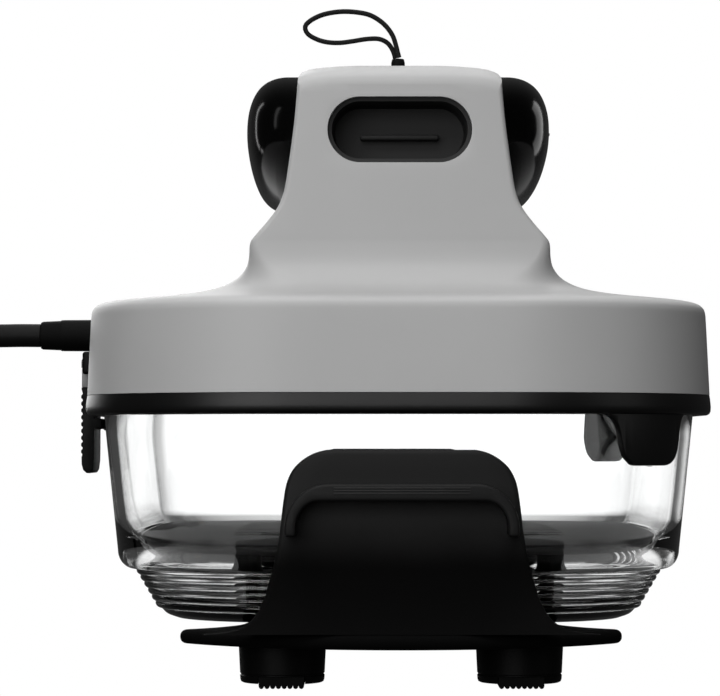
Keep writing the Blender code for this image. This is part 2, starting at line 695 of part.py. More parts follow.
# Where the loop comes out of the band, near one end, and the band's height there
LOOP_Y = -60.0 * MM
LOOP_ROOT_Z = 229.75 * MM
LOOP_ROUTE = [
    Vector((x * MM, LOOP_Y + y * MM, z * MM)) for x, y, z in (
        (0.4, -1.1, 232.8), (-0.1, -1.1, 234.6), (-0.8, -1.0, 237.4), (-2.2, -0.8, 241.5),
        (-5.4, -0.5, 245.7), (-10.3, -0.2, 249.0), (-15.9, 0.0, 250.3), (-22.2, 0.0, 250.5),
        (-28.5, 0.0, 249.4), (-33.2, 0.0, 247.2), (-35.4, 0.0, 244.8), (-34.4, 0.0, 242.0),
        (-30.9, 0.0, 239.9), (-26.9, 0.0, 238.8), (-22.2, 0.1, 238.6), (-17.5, 0.3, 239.2),
        (-12.0, 0.6, 240.1), (-7.4, 0.9, 240.2), (-4.3, 1.1, 238.9), (-2.5, 1.2, 236.8),
        (-1.5, 1.2, 234.6), (-1.1, 1.2, 232.8))]


def lanyard():
    """A small gland on the band, and the thin cord loop that stands out of it."""
    gland = turned("lanyard_gland", [
        (0.0, 2.3 * MM), (2.3 * MM, 2.3 * MM), (2.6 * MM, 0.9 * MM), (2.6 * MM, 0.0), (0.0, 0.0)],
        "black_rubber", segments=20)
    gland.location = (0.0, LOOP_Y, LOOP_ROOT_Z + GAP)
    tube("lanyard_loop", route_curve(LOOP_ROUTE, 3.0 * MM), 1.9 * MM, "cord_black")


# ---------------------------------------------------------------- latch

def latch():
    """A sprung lever on a pin; its arm reaches under the rim and presses a pad to the glass."""
    top_r, hole_r = 3.4 * MM, 1.6 * MM
    outline = arc(0.0, 0.0, top_r, 0.0, 180.0, 8)
    outline += [
        (x * MM, z * MM) for x, z in (
            (-3.4, -12.0), (-3.8, -15.0), (-3.8, -37.0), (-3.4, -40.0), (-2.4, -42.2), (-0.6, -43.7),
            (1.4, -44.0), (2.6, -42.0), (3.0, -38.0), (3.0, -26.3), (5.3, -26.3), (5.3, -22.3),
            (3.0, -22.3), (3.4, -20.5))]
    pin_hole = arc(0.0, 0.0, hole_r, 0.0, 330.0, 11)
    mesh = curve_mesh(
        "latch_lever", outline_curve("lever", [outline, pin_hole], 2 * LATCH_HALF_Y), wall_matrix(0.0))
    lever = add("latch_lever", mesh, "black_plastic", LATCH_AXIS)
    pocket = box("button_pocket", (-0.01, -5.3 * MM, -10.3 * MM), (-0.2 * MM, 5.3 * MM, -1.95 * MM))
    boolean(lever, tool("button_pocket", pocket, LATCH_AXIS), "DIFFERENCE")
    button = box("latch_button", (-4.2 * MM, -5.0 * MM, -10.0 * MM), (-1.9 * MM, 5.0 * MM, -2.3 * MM))
    add("latch_button", button, "head_grey", LATCH_AXIS)
    pad = box("latch_pad", (5.6 * MM, -11.0 * MM, -27.0 * MM), (9.6 * MM, 11.0 * MM, -22.3 * MM))
    add("latch_pad", pad, "black_rubber", LATCH_AXIS)

    pin = add("latch_pin", cylinder("latch_pin", LATCH_PIN_R, -0.018, 0.018, segments=12), "bright_steel")
    pin.location = LATCH_PIN
    pin.rotation_euler.x = radians(90.0)
    for side, sign in (("front", -1), ("back", 1)):
        name = f"latch_ear_{side}"
        near, far = sorted((sign * EAR_Y[0], sign * EAR_Y[1]))
        ear = box(name, (-HEAD_HALF_X - 6.2 * MM, near, 113.0 * MM), (-HEAD_HALF_X - GAP, far, 122.0 * MM))
        add(name, ear, "black_plastic")
    turns, steps = 3, 36
    coil = []
    for step in range(steps + 1):
        angle = 2 * pi * turns * step / steps
        y = (15.7 + 1.9 * step / steps) * MM
        coil.append(LATCH_PIN + Vector((2.2 * MM * cos(angle), y, 2.2 * MM * sin(angle))))
    tube("latch_spring", coil, 0.5 * MM, "bright_steel", resolution=0)


# ---------------------------------------------------------------- mains lead

CORD_ROUTE = [
    Vector((x * MM, y * MM, z * MM)) for x, y, z in (
        (-142.3, 0.0, 129.0), (-153.0, 0.0, 129.0), (-165.0, 0.0, 128.4), (-178.0, 0.2, 125.2),
        (-190.5, 0.6, 118.0), (-201.0, 1.2, 107.0), (-208.5, 1.6, 93.0), (-213.0, 0.8, 78.0),
        (-215.5, -2.2, 60.5), (-217.0, -7.0, 43.5), (-218.2, -14.5, 29.0), (-219.0, -23.5, 19.6),
        (-219.4, -32.0, 15.6), (-219.5, -40.0, 14.6))]
TAIL_ROUTE = [
    Vector((x * MM, y * MM, z * MM)) for x, y, z in (
        (-200.7, -87.5, 4.8), (-200.7, -95.0, 4.9), (-200.7, -101.5, 5.7), (-200.7, -108.0, 7.8),
        (-200.7, -114.0, 10.2), (-200.7, -119.0, 11.5), (-200.7, -124.0, 12.0))]
PLUG_Z = 12.0 * MM


def mains_lead():
    """Strain relief, the lead down to its coil, the clip, and the tail to the plug."""
    length = -HEAD_HALF_X - GAP - RELIEF_END_X
    relief = turned("cord_strain_relief", [
        (r * MM, z * length) for r, z in
        ((0.0, 1.0), (5.6, 1.0), (6.2, 0.95), (6.25, 0.3), (7.0, 0.12), (7.0, 0.0), (0.0, 0.0))],
        "black_rubber")
    relief.location = (-HEAD_HALF_X - GAP, 0.0, CORD_Z)
    relief.rotation_euler.y = radians(-90.0)
    tube("mains_cord", route_curve(CORD_ROUTE, 2.2 * CORD_D), CORD_D, "cord_black")
    inner = COIL_START_R - CORD_D / 2
    outer = COIL_START_R + COIL_TURNS * CORD_D
    top = CORD_D
    coil = turned("cord_coil", [(inner, top), (outer, top), (outer, 0.0), (inner, 0.0)],
                  "cord_black", closed=True, segments=36)
    coil.location = COIL_CENTRE
    tube("cord_tail", route_curve(TAIL_ROUTE, 2.0 * CORD_D), CORD_D, "cord_black")
    slack = 1.0 * MM
    wall = 1.4 * MM
    inner -= slack
    outer += slack
    outline = [
        (inner - wall, 0.0), (inner, 0.0), (inner, top + GAP), (outer, top + GAP), (outer, 0.0),
        (outer + wall, 0.0), (outer + wall, top + GAP + wall), (inner - wall, top + GAP + wall)]
    clip = curve_mesh("cord_clip", outline_curve("clip", [outline], 12.0 * MM), wall_matrix(0.0))
    obj = add("cord_clip", clip, "black_rubber")
    obj.location = COIL_CENTRE
    obj.rotation_euler.z = radians(180.0)


def plug():
    """A moulded plug lying beside the coil: tapered neck, rounded body, two blades, one pin."""
    start, x = 125.0, TAIL_ROUTE[-1].x
    rows = ((0.0, 6.0, 6.0), (14.0, 7.2, 7.2), (18.0, 10.5, 10.0), (24.0, 12.8, 11.6), (42.0, 13.4, 11.8),
            (44.0, 12.6, 11.2))
    rings = [rounded_ring(a * MM, b * MM, 5.9 * MM, along * MM) for along, a, b in rows]
    place = Matrix.Translation((x, -start * MM, PLUG_Z)) @ Matrix.Rotation(radians(90.0), 4, "X")
    body = add("plug_body", loft("plug_body", rings), "cord_black")
    body.matrix_local = place
    face = -(start + 44.0) * MM - GAP
    for name, side in (("plug_blade_left", -1), ("plug_blade_right", 1)):
        blade_x = x + side * 6.35 * MM
        low = (blade_x - 0.75 * MM, face - 16.0 * MM, PLUG_Z - 1.2 * MM)
        high = (blade_x + 0.75 * MM, face, PLUG_Z + 5.0 * MM)
        add(name, box(name, low, high), "brass")
    pin = add("plug_earth_pin", cylinder("plug_earth_pin", 2.35 * MM, 0.0, 18.5 * MM, segments=16), "brass")
    pin.location = (x, face, PLUG_Z - 6.4 * MM)
    pin.rotation_euler.x = radians(90.0)


stand()
glass_bowl()
crisper()
head_housing()
pod("control_pod", 1)
pod("rear_pod", -1)
grip_liner("grip_liner_front", -1)
grip_liner("grip_liner_back", 1)
rim_ring()
seal_ring()
heater()
rotor()
motor()
electronics()
lanyard()
latch()
mains_lead()
plug()
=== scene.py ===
# %% [markdown]
# # A portable glass-bowl air fryer
# A grey heater head with a carrying band sits on a clear glass bowl, and the bowl stands in a black
# carrying stand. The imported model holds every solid, joint and size. This lesson builds the looks
# around it: each visible piece is modelled again with a fine surface, and each finish is painted
# with nodes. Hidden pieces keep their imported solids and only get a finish.

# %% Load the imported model
import json
from math import copysign, cos, pi, radians, sin, sqrt, tan

import bmesh
import bpy
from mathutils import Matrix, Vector


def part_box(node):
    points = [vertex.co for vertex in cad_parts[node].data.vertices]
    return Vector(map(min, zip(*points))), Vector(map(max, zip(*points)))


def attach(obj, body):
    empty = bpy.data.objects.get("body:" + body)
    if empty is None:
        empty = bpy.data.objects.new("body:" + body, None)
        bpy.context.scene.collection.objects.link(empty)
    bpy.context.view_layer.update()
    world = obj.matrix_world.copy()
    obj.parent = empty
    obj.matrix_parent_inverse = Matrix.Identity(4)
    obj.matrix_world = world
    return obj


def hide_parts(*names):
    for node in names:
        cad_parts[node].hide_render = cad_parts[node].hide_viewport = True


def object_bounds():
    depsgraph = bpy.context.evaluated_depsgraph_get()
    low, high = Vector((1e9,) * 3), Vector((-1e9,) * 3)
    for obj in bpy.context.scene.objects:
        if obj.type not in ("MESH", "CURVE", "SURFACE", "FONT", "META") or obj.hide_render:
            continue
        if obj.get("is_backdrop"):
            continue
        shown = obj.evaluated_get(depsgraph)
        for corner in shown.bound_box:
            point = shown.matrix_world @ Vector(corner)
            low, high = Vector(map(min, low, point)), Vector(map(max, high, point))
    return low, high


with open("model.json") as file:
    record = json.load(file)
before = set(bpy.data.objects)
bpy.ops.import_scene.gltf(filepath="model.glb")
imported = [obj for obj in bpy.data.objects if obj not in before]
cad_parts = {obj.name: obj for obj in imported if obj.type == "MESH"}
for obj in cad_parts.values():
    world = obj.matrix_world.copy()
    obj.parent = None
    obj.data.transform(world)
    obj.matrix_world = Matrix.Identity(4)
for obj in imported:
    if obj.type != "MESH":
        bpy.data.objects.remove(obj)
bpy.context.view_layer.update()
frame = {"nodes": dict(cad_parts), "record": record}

MM = 0.001
nodes = frame["nodes"]


def middle_of(node):
    low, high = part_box(node)
    return (low + high) / 2


MID_X = middle_of("glass_bowl").x
print("packed pieces:", len(nodes), "middle of the bowl at x =", round(MID_X, 5))


# %% [markdown]
# ## The camera
# The machine is seen from its narrow end, from the height of the bowl, through a long lens that
# keeps the sides nearly parallel. A long lens far away is the usual choice for a product picture,
# because a short one would swell the near handle.

# %% Camera
EYE_DISTANCE = 1.2
EYE_HEIGHT = 85.3 * MM
EYE_LEFT = 14.5 * MM
EYE_TILT = radians(1.85)

camera_data = bpy.data.cameras.new("eye")
camera_data.lens = 150.0
camera_data.sensor_width = 36.0
camera = bpy.data.objects.new("eye", camera_data)
camera.location = (MID_X - EYE_LEFT, -EYE_DISTANCE, EYE_HEIGHT)
camera.rotation_euler = (radians(90.0) + EYE_TILT, 0.0, 0.0)
bpy.context.scene.collection.objects.link(camera)
bpy.context.scene.camera = camera
bpy.context.scene.view_settings.view_transform = "Standard"
print("camera:", camera_data.lens, "mm lens,", EYE_DISTANCE, "m away")


# %% [markdown]
# ## Helpers for working as by hand
# Blender's operators act on whatever is selected, so every step starts by clearing the selection
# and taking hold of one piece. A finished piece has its place in its mesh, with its object at the
# origin, so that a pattern painted on object coordinates stays put.

# %% Taking hold of a piece
def rest():
    """Back to object mode with nothing selected."""
    if bpy.context.object and bpy.context.object.mode != "OBJECT":
        bpy.ops.object.mode_set(mode="OBJECT")
    bpy.ops.object.select_all(action="DESELECT")


def take(piece):
    rest()
    piece.select_set(True)
    bpy.context.view_layer.objects.active = piece
    return piece


def settle(piece, sharp=30.0):
    """Bakes the piece's place into its mesh and shades it smooth up to its sharp edges."""
    take(piece)
    bpy.ops.object.transform_apply(location=True, rotation=True, scale=True)
    bpy.ops.object.shade_smooth_by_angle(angle=radians(sharp))
    rest()
    return piece


def apply_modifier(piece, kind, **settings):
    take(piece)
    modifier = piece.modifiers.new(kind.lower(), kind)
    for key, value in settings.items():
        setattr(modifier, key, value)
    bpy.ops.object.modifier_apply(modifier=modifier.name)
    return piece


def carve(piece, other, operation="DIFFERENCE"):
    """Cuts the other shape out of the piece, or joins it on, and throws the other away."""
    apply_modifier(piece, "BOOLEAN", operation=operation, solver="EXACT", object=other)
    bpy.data.objects.remove(other, do_unlink=True)
    return piece


def join(name, pieces):
    """Several loose shapes of one piece, as one object."""
    rest()
    for piece in pieces:
        piece.select_set(True)
    bpy.context.view_layer.objects.active = pieces[0]
    bpy.ops.object.join()
    pieces[0].name = name
    rest()
    return pieces[0]


# %% [markdown]
# ## Outlines
# Most mouldings here are rounded rectangles that change with height. An outline is a list of flat
# points round the origin, and a ring is the same outline laid down or stood up at its place.

# %% Outlines
def rounded(half_x, half_y, corner, corner_steps=14, side_steps=4):
    """A rounded rectangle round the origin as (x, y) pairs, counter-clockwise from +X.

    The corner stays a hair under half the width, so that no two points meet.
    """
    corner = min(corner, 0.996 * half_x, 0.996 * half_y)
    flat_x, flat_y = half_x - corner, half_y - corner
    ends = ((1, 1), (-1, 1), (-1, -1), (1, -1))
    points = []
    for index, (sign_x, sign_y) in enumerate(ends):
        for step in range(corner_steps + 1):
            angle = radians(90.0 * index + 90.0 * step / corner_steps)
            points.append(
                (sign_x * flat_x + corner * cos(angle), sign_y * flat_y + corner * sin(angle)))
        next_x, next_y = ends[(index + 1) % 4]
        turn = radians(90.0 * (index + 1))
        goal = (next_x * flat_x + corner * cos(turn), next_y * flat_y + corner * sin(turn))
        start = points[-1]
        for step in range(1, side_steps):
            part = step / side_steps
            points.append(
                (start[0] + (goal[0] - start[0]) * part, start[1] + (goal[1] - start[1]) * part))
    return points


def oval(half_x, half_y, power=2.4, count=96):
    """An outline fuller than an ellipse and softer than a rounded rectangle."""
    points = []
    for index in range(count):
        across, along = cos(2 * pi * index / count), sin(2 * pi * index / count)
        points.append((
            half_x * copysign(abs(across) ** (2 / power), across),
            half_y * copysign(abs(along) ** (2 / power), along)))
    return points


def lying(outline, z, x=MID_X, y=0.0):
    """The outline as a level ring at height z."""
    return [Vector((x + a, y + b, z)) for a, b in outline]


def facing_end(outline, y, z=0.0, x=MID_X):
    """The outline standing up, seen from the machine's end."""
    return [Vector((x + a, y, z + b)) for a, b in outline]


def facing_side(outline, x, z, y=0.0):
    """The outline standing up, seen from the machine's long side."""
    return [Vector((x, y + a, z + b)) for a, b in outline]


def disc(radius, count=48):
    turns = [2 * pi * index / count for index in range(count)]
    return [(radius * cos(a), radius * sin(a)) for a in turns]


def in_mm(pairs):
    return [(a * MM, b * MM) for a, b in pairs]


# %% [markdown]
# ## Growing a skin ring by ring
# A circle is added, its points are laid on the first ring, and the circle is then extruded again
# and again, each new loop being laid on the next ring. That is the same as extruding and scaling by
# hand, only exact. The tables of sections further down are in millimetres.

# %% Skins
def grow(name, rings, closed=False, first_cap=True, last_cap=True):
    """A skin through rings of equally many points, by extruding one loop of edges."""
    rest()
    count = len(rings[0])
    bpy.ops.mesh.primitive_circle_add(vertices=count, radius=0.01)
    piece = bpy.context.object
    piece.name = name
    bpy.ops.object.mode_set(mode="EDIT")
    mesh = bmesh.from_edit_mesh(piece.data)
    mesh.verts.ensure_lookup_table()
    line = [0]
    while len(line) < count:
        links = [e.other_vert(mesh.verts[line[-1]]).index for e in mesh.verts[line[-1]].link_edges]
        line.append(next(i for i in sorted(links, reverse=len(line) > 1) if i not in line))
    for index, point in zip(line, rings[0]):
        mesh.verts[index].co = point
    first = list(line)
    for ring in rings[1:]:
        bpy.ops.mesh.extrude_region_move()
        mesh = bmesh.from_edit_mesh(piece.data)
        mesh.verts.index_update()
        mesh.verts.ensure_lookup_table()
        line = [
            next(e.other_vert(mesh.verts[i]).index for e in mesh.verts[i].link_edges
                 if e.other_vert(mesh.verts[i]).select)
            for i in line]
        for index, point in zip(line, ring):
            mesh.verts[index].co = point
    ends = [first] if first_cap else []
    if last_cap:
        ends.append(line)
    if closed:
        choose(mesh, first + line)
        bpy.ops.mesh.bridge_edge_loops()
    else:
        for end in ends:
            choose(mesh, end)
            bpy.ops.mesh.edge_face_add()
            mesh = bmesh.from_edit_mesh(piece.data)
            mesh.verts.ensure_lookup_table()
    bpy.ops.mesh.select_all(action="SELECT")
    bpy.ops.mesh.normals_make_consistent(inside=False)
    bpy.ops.object.mode_set(mode="OBJECT")
    return piece


def choose(mesh, indices):
    """Selects the edges whose two ends are both in the list."""
    bpy.ops.mesh.select_all(action="DESELECT")
    wanted = set(indices)
    for edge in mesh.edges:
        if edge.verts[0].index in wanted and edge.verts[1].index in wanted and edge.is_boundary:
            edge.select_set(True)


# %% [markdown]
# ### Sections between the sections
# A designer draws a few key sections, and a smooth curve through them gives the rest.

# %% Smooth curves
def between(a, b, c, d, t):
    """The smooth curve through four values in a row, a share t of the way from b to c."""
    return 0.5 * (2 * b + (c - a) * t + (2 * a - 5 * b + 4 * c - d) * t ** 2
                  + (3 * b - a - 3 * c + d) * t ** 3)


def flow(rows, steps):
    """Rows of numbers, made finer by a smooth curve through them."""
    rows = [list(row) for row in rows]
    padded = [[2 * a - b for a, b in zip(rows[0], rows[1])], *rows,
              [2 * a - b for a, b in zip(rows[-1], rows[-2])]]
    made = [rows[0]]
    for quad in zip(padded, padded[1:], padded[2:], padded[3:]):
        for index in range(1, steps + 1):
            made.append([between(*four, index / steps) for four in zip(*quad)])
    return made


# %% [markdown]
# ## Straight-sided shapes
# A flat shape is a filled circle laid on its outline and extruded once. A block is a cube with
# rounded edges. Both are rounded with a Bevel modifier, because no moulded edge is truly sharp.

# %% Prisms and blocks
def prism(name, outline, push, bevel=0.0, segments=3, angle=40.0):
    """A flat outline of points, extruded by the vector push, with its hard edges rounded."""
    rest()
    bpy.ops.mesh.primitive_circle_add(vertices=len(outline), radius=0.01, fill_type="NGON")
    piece = bpy.context.object
    piece.name = name
    bpy.ops.object.mode_set(mode="EDIT")
    mesh = bmesh.from_edit_mesh(piece.data)
    mesh.faces.ensure_lookup_table()
    for vert, point in zip(mesh.faces[0].verts, outline):
        vert.co = point
    bpy.ops.mesh.extrude_region_move(TRANSFORM_OT_translate={"value": push})
    bpy.ops.mesh.select_all(action="SELECT")
    bpy.ops.mesh.normals_make_consistent(inside=False)
    bpy.ops.object.mode_set(mode="OBJECT")
    if bevel:
        round_edges(piece, bevel, segments, angle)
    return piece


def round_edges(piece, width, segments=3, angle=40.0):
    return apply_modifier(
        piece, "BEVEL", width=width, segments=segments, limit_method="ANGLE",
        angle_limit=radians(angle), use_clamp_overlap=True)


def block(name, low, high, bevel=0.0, segments=3):
    rest()
    low, high = Vector(low), Vector(high)
    bpy.ops.mesh.primitive_cube_add(size=1.0, location=(low + high) / 2)
    piece = bpy.context.object
    piece.name = name
    piece.scale = high - low
    bpy.ops.object.transform_apply(location=True, rotation=True, scale=True)
    if bevel:
        round_edges(piece, bevel, segments)
    return piece


# %% [markdown]
# ## Shader sums written as Python
# A material is a sum of small patterns. Wrapping a socket in a class with arithmetic on it lets a
# line of Python stand for the Math nodes that it adds, so a finish can be read as a formula. The
# same two classes serve the world behind the machine.

# %% Wires
class Wire:
    """One output of a node. Sums and products on it add Math nodes."""

    def __init__(self, nodes, socket):
        self.nodes, self.socket = nodes, socket

    def sum(self, operation, a, b):
        return self.nodes.wire("ShaderNodeMath", {"operation": operation}, {0: a, 1: b})

    def __add__(self, other):
        return self.sum("ADD", self, other)

    def __mul__(self, other):
        return self.sum("MULTIPLY", self, other)

    def __sub__(self, other):
        return self.sum("SUBTRACT", self, other)

    def __rsub__(self, other):
        return self.sum("SUBTRACT", other, self)

    __radd__ = __add__
    __rmul__ = __mul__

    def __abs__(self):
        return self.sum("ABSOLUTE", self, 0.0)

    def above(self, limit):
        return self.sum("GREATER_THAN", self, limit)

    def or_more(self, other):
        return self.sum("MAXIMUM", self, other)


class Nodes:
    """A node tree, with one way to add a node and feed it values or wires."""

    def __init__(self, tree):
        self.tree = tree

    def node(self, kind, settings=None, inputs=None):
        node = self.tree.nodes.new(kind)
        for key, value in (settings or {}).items():
            setattr(node, key, value)
        for key, value in (inputs or {}).items():
            self.feed(node.inputs[key], value)
        return node

    def feed(self, socket, value):
        if isinstance(value, Wire):
            self.tree.links.new(value.socket, socket)
        else:
            socket.default_value = value

    def wire(self, kind, settings=None, inputs=None, output=0):
        return Wire(self, self.node(kind, settings, inputs).outputs[output])

    def fade(self, value, start, end, low=0.0, high=1.0):
        """A soft step from low to high as the value goes from start to end."""
        return self.wire(
            "ShaderNodeMapRange", {"interpolation_type": "SMOOTHSTEP"},
            {"Value": value, "From Min": start, "From Max": end, "To Min": low, "To Max": high})


# %% [markdown]
# ### A painted material
# A Paint is the node tree of one material. Constants go straight onto its Principled shader, and
# short methods add what nearly every finish needs: noise, a tint between two colours, a bump.

# %% Paint
class Paint(Nodes):
    def __init__(self, name, **constants):
        self.material = bpy.data.materials.new(name)
        self.material.use_nodes = True
        super().__init__(self.material.node_tree)
        self.shader = self.tree.nodes["Principled BSDF"]
        for key, value in constants.items():
            self.shader.inputs[key.replace("_", " ")].default_value = value
        self.place = self.wire("ShaderNodeTexCoord", output="Object")
        print("finish:", name)

    def noise(self, scale, detail=2.0, stretch=None):
        """Noise centred on a half, in lumps about 1 / scale metres wide."""
        place = self.place
        if stretch:
            place = self.wire("ShaderNodeMapping", None, {"Vector": place, "Scale": stretch})
        return self.wire(
            "ShaderNodeTexNoise", None, {"Vector": place, "Scale": scale, "Detail": detail})

    def tint(self, dark, light, factor):
        mixed = self.node("ShaderNodeMix", {"data_type": "RGBA"}, {"Factor": factor})
        mixed.inputs["A"].default_value = (*dark, 1.0)
        mixed.inputs["B"].default_value = (*light, 1.0)
        self.tree.links.new(mixed.outputs["Result"], self.shader.inputs["Base Color"])

    def bump(self, height, strength, distance):
        normal = self.wire(
            "ShaderNodeBump", None, {"Strength": strength, "Distance": distance, "Height": height})
        self.feed(self.shader.inputs["Normal"], normal)

    def rough(self, value):
        self.feed(self.shader.inputs["Roughness"], value)


def grey(value, warm=0.0):
    """A near-neutral colour, a touch warmer or cooler."""
    return (value * (1 + warm), value, value * (1 - warm))


# %% [markdown]
# ## The finishes
# Moulded plastic is never one flat colour: its spark-eroded tool leaves a fine grain, and thick and
# thin walls cool to slightly different sheens. The grain is a bump of noise less than half a
# millimetre wide. The clouds of sheen are noise a few centimetres wide, in colour and roughness.

# %% Moulded plastics
def moulded(name, shade, roughness, grain, warm=0.0, **constants):
    paint = Paint(name, **constants)
    cloud = paint.noise(22.0, 3.0)
    fine = paint.noise(2600.0, 2.0)
    paint.tint(grey(shade * 0.95, warm), grey(shade * 1.05, warm), cloud)
    paint.rough(roughness + (cloud - 0.5) * 0.08 + (fine - 0.5) * 0.10)
    paint.bump(fine, grain, 0.05 * MM)
    return paint.material


HEAD_GREY = moulded("satin_grey_moulding", 0.37, 0.52, 0.25)
RIM_BLACK = moulded("satin_black_moulding", 0.0022, 0.40, 0.3, Specular_IOR_Level=0.30)
MATT_BLACK = moulded("matt_black_moulding", 0.0022, 0.46, 0.35, Specular_IOR_Level=0.07)
RECESS_BLACK = moulded("recess_black_moulding", 0.016, 0.62, 0.3, Specular_IOR_Level=0.2)
BUTTON_GREY = moulded("button_grey_moulding", 0.16, 0.45, 0.2)
PALE_MARK = moulded("pale_touch_mark", 0.42, 0.5, 0.1)


# %% [markdown]
# The stand is the same plastic with painted shade: its low parts are painted dark and made matt,
# standing in for the shade that falls there, and its handles paler and smoother. The height of each
# point decides the share, and a little noise keeps the change from being a straight line.

# %% Plastic with painted shade
PAINTED_SHADE_FROM, PAINTED_SHADE_TO = 43.0 * MM, 62.0 * MM


def black_with_painted_shade():
    paint = Paint("stand_black_painted_shade", Specular_IOR_Level=0.08)
    cloud = paint.noise(30.0, 3.0)
    fine = paint.noise(2600.0, 2.0)
    height = paint.wire("ShaderNodeSeparateXYZ", None, {"Vector": paint.place}, 2)
    # Painted shade: the colour darkens towards the bottom, standing in for the shade on the stand's low
    # parts.
    painted_lightness = paint.fade(height + cloud * 4.0 * MM, PAINTED_SHADE_FROM, PAINTED_SHADE_TO)
    paint.tint(grey(0.0002), grey(0.0095), painted_lightness * (0.85 + cloud * 0.3))
    paint.rough(0.9 - painted_lightness * 0.44 + (fine - 0.5) * 0.1)
    paint.bump(fine, 0.35, 0.05 * MM)
    return paint.material


STAND_BLACK = black_with_painted_shade()


# %% [markdown]
# The two pods are polished: almost no grain, a hard clear reflection, and only a faint unevenness
# like the orange peel of any bright moulding. Faint wipe marks change the roughness a little.

# %% Polished black
def polished():
    paint = Paint("polished_black", IOR=1.5, Specular_IOR_Level=0.16)
    peel = paint.noise(160.0, 1.0)
    wipe = paint.noise(60.0, 4.0, (1.0, 0.25, 1.0))
    paint.tint(grey(0.0035), grey(0.0055), wipe)
    paint.rough(0.13 + wipe * 0.06)
    paint.bump(peel, 0.06, 0.2 * MM)
    return paint.material


POLISHED = polished()


# %% [markdown]
# Rubber and the lead's sheath are dull, with a soft broad sheen and a slightly uneven skin. Their
# grain is coarser than the plastic's, and dust lifts the colour a little where the noise is high.

# %% Rubber and cord
def soft_black(name, shade, roughness, lump, grain):
    paint = Paint(name, Specular_IOR_Level=0.08)
    dust = paint.noise(90.0, 5.0)
    fine = paint.noise(lump, 3.0)
    paint.tint(grey(shade), grey(shade * 1.7), dust)
    paint.rough(roughness + (dust - 0.5) * 0.12)
    paint.bump(fine, grain, 0.08 * MM)
    return paint.material


RUBBER = soft_black("dull_rubber", 0.0012, 0.7, 1500.0, 0.4)
SHEATH = soft_black("lead_sheath", 0.004, 0.5, 900.0, 0.2)
BRAID = soft_black("loop_braid", 0.006, 0.66, 2400.0, 0.9)


# %% [markdown]
# The bowl is clear pressed glass. Its colour and its index are constants on the shader. Pressing
# leaves very slow waves in the wall, which the bump gives, so straight lines seen through it swim.

# %% Glass
def pressed_glass():
    paint = Paint("clear_pressed_glass", Transmission_Weight=1.0, IOR=1.47)
    paint.shader.inputs["Base Color"].default_value = (0.995, 1.0, 1.0, 1.0)
    paint.rough(0.0 + paint.noise(40.0, 2.0) * 0.012)
    paint.bump(paint.noise(55.0, 1.0), 0.05, 0.3 * MM)
    return paint.material


GLASS = pressed_glass()


# %% [markdown]
# Metals: the guard and pan are bright sheet steel with fine drawn lines, the crisper plate has a
# dark non-stick coat, and the pins and bushes are plain brass. Drawn lines are noise stretched many
# times along one axis.

# %% Metals and boards
def drawn_metal(
        name, shade, roughness, lines, stretch=(1.0, 60.0, 1.0), warm=0.0, metallic=1.0, gloss=0.5):
    paint = Paint(name, Metallic=metallic, Specular_IOR_Level=gloss)
    scratch = paint.noise(900.0, 3.0, tuple(1.0 / s for s in stretch))
    stain = paint.noise(30.0, 4.0)
    paint.tint(grey(shade * 0.85, warm), grey(shade * 1.1, warm), stain)
    paint.rough(roughness + (scratch - 0.5) * 0.2 + (stain - 0.5) * 0.1)
    paint.bump(scratch, lines, 0.03 * MM)
    return paint.material


BRIGHT_STEEL = drawn_metal("bright_sheet_steel", 0.55, 0.28, 0.3)
DARK_COAT = drawn_metal("dark_nonstick_coat", 0.006, 0.55, 0.25, (1.0, 1.0, 1.0), 0.0, 0.0, 0.12)
BRASS = drawn_metal("plain_brass", 0.5, 0.3, 0.2, (1.0, 20.0, 1.0), 0.35)


def lacquered_board():
    paint = Paint("lacquered_board", Roughness=0.4)
    paint.tint((0.01, 0.07, 0.03), (0.02, 0.13, 0.05), paint.noise(260.0, 3.0).above(0.52))
    return paint.material


BOARD = lacquered_board()


# %% [markdown]
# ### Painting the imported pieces
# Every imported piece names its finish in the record, so one table paints them all. The pieces made
# below are painted as they are placed, ride on a body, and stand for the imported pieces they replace.

# %% Painting and placing
def paint_with(piece, material):
    piece.data.materials.clear()
    piece.data.materials.append(material)
    return piece


FINISH_OF_SLOT = {
    "head_grey": HEAD_GREY, "pod_black": POLISHED, "black_plastic": MATT_BLACK,
    "black_rubber": RUBBER, "cord_black": SHEATH, "clear_glass": GLASS, "bright_steel": BRIGHT_STEEL,
    "dark_steel": DARK_COAT, "board_green": BOARD, "brass": BRASS}
for part in frame["record"]["subparts"]:
    paint_with(nodes[part["node"]], FINISH_OF_SLOT[part["material_slot"]])
print("finishes:", len(FINISH_OF_SLOT))


def place_piece(piece, material, body, slot, *replaced):
    paint_with(piece, material)
    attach(piece, body)
    if replaced:
        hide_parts(*replaced)
    print(piece.name, "rides on", body)
    return piece


# %% [markdown]
# ## The mains lead
# A heavy round lead leaves the head straight, bends down under its own weight and lies on the
# worktop in a flat coil of two turns, with its plug beside it. The points down to the coil are listed
# one by one, as a cable lies, and so are those of the short tail up to the plug.

# %% Lead's two ends
LEAD_D = 9.4 * MM


def from_middle(*rows):
    """Points given in millimetres from the middle of the bowl."""
    return [Vector((MID_X + x * MM, y * MM, z * MM)) for x, y, z in rows]


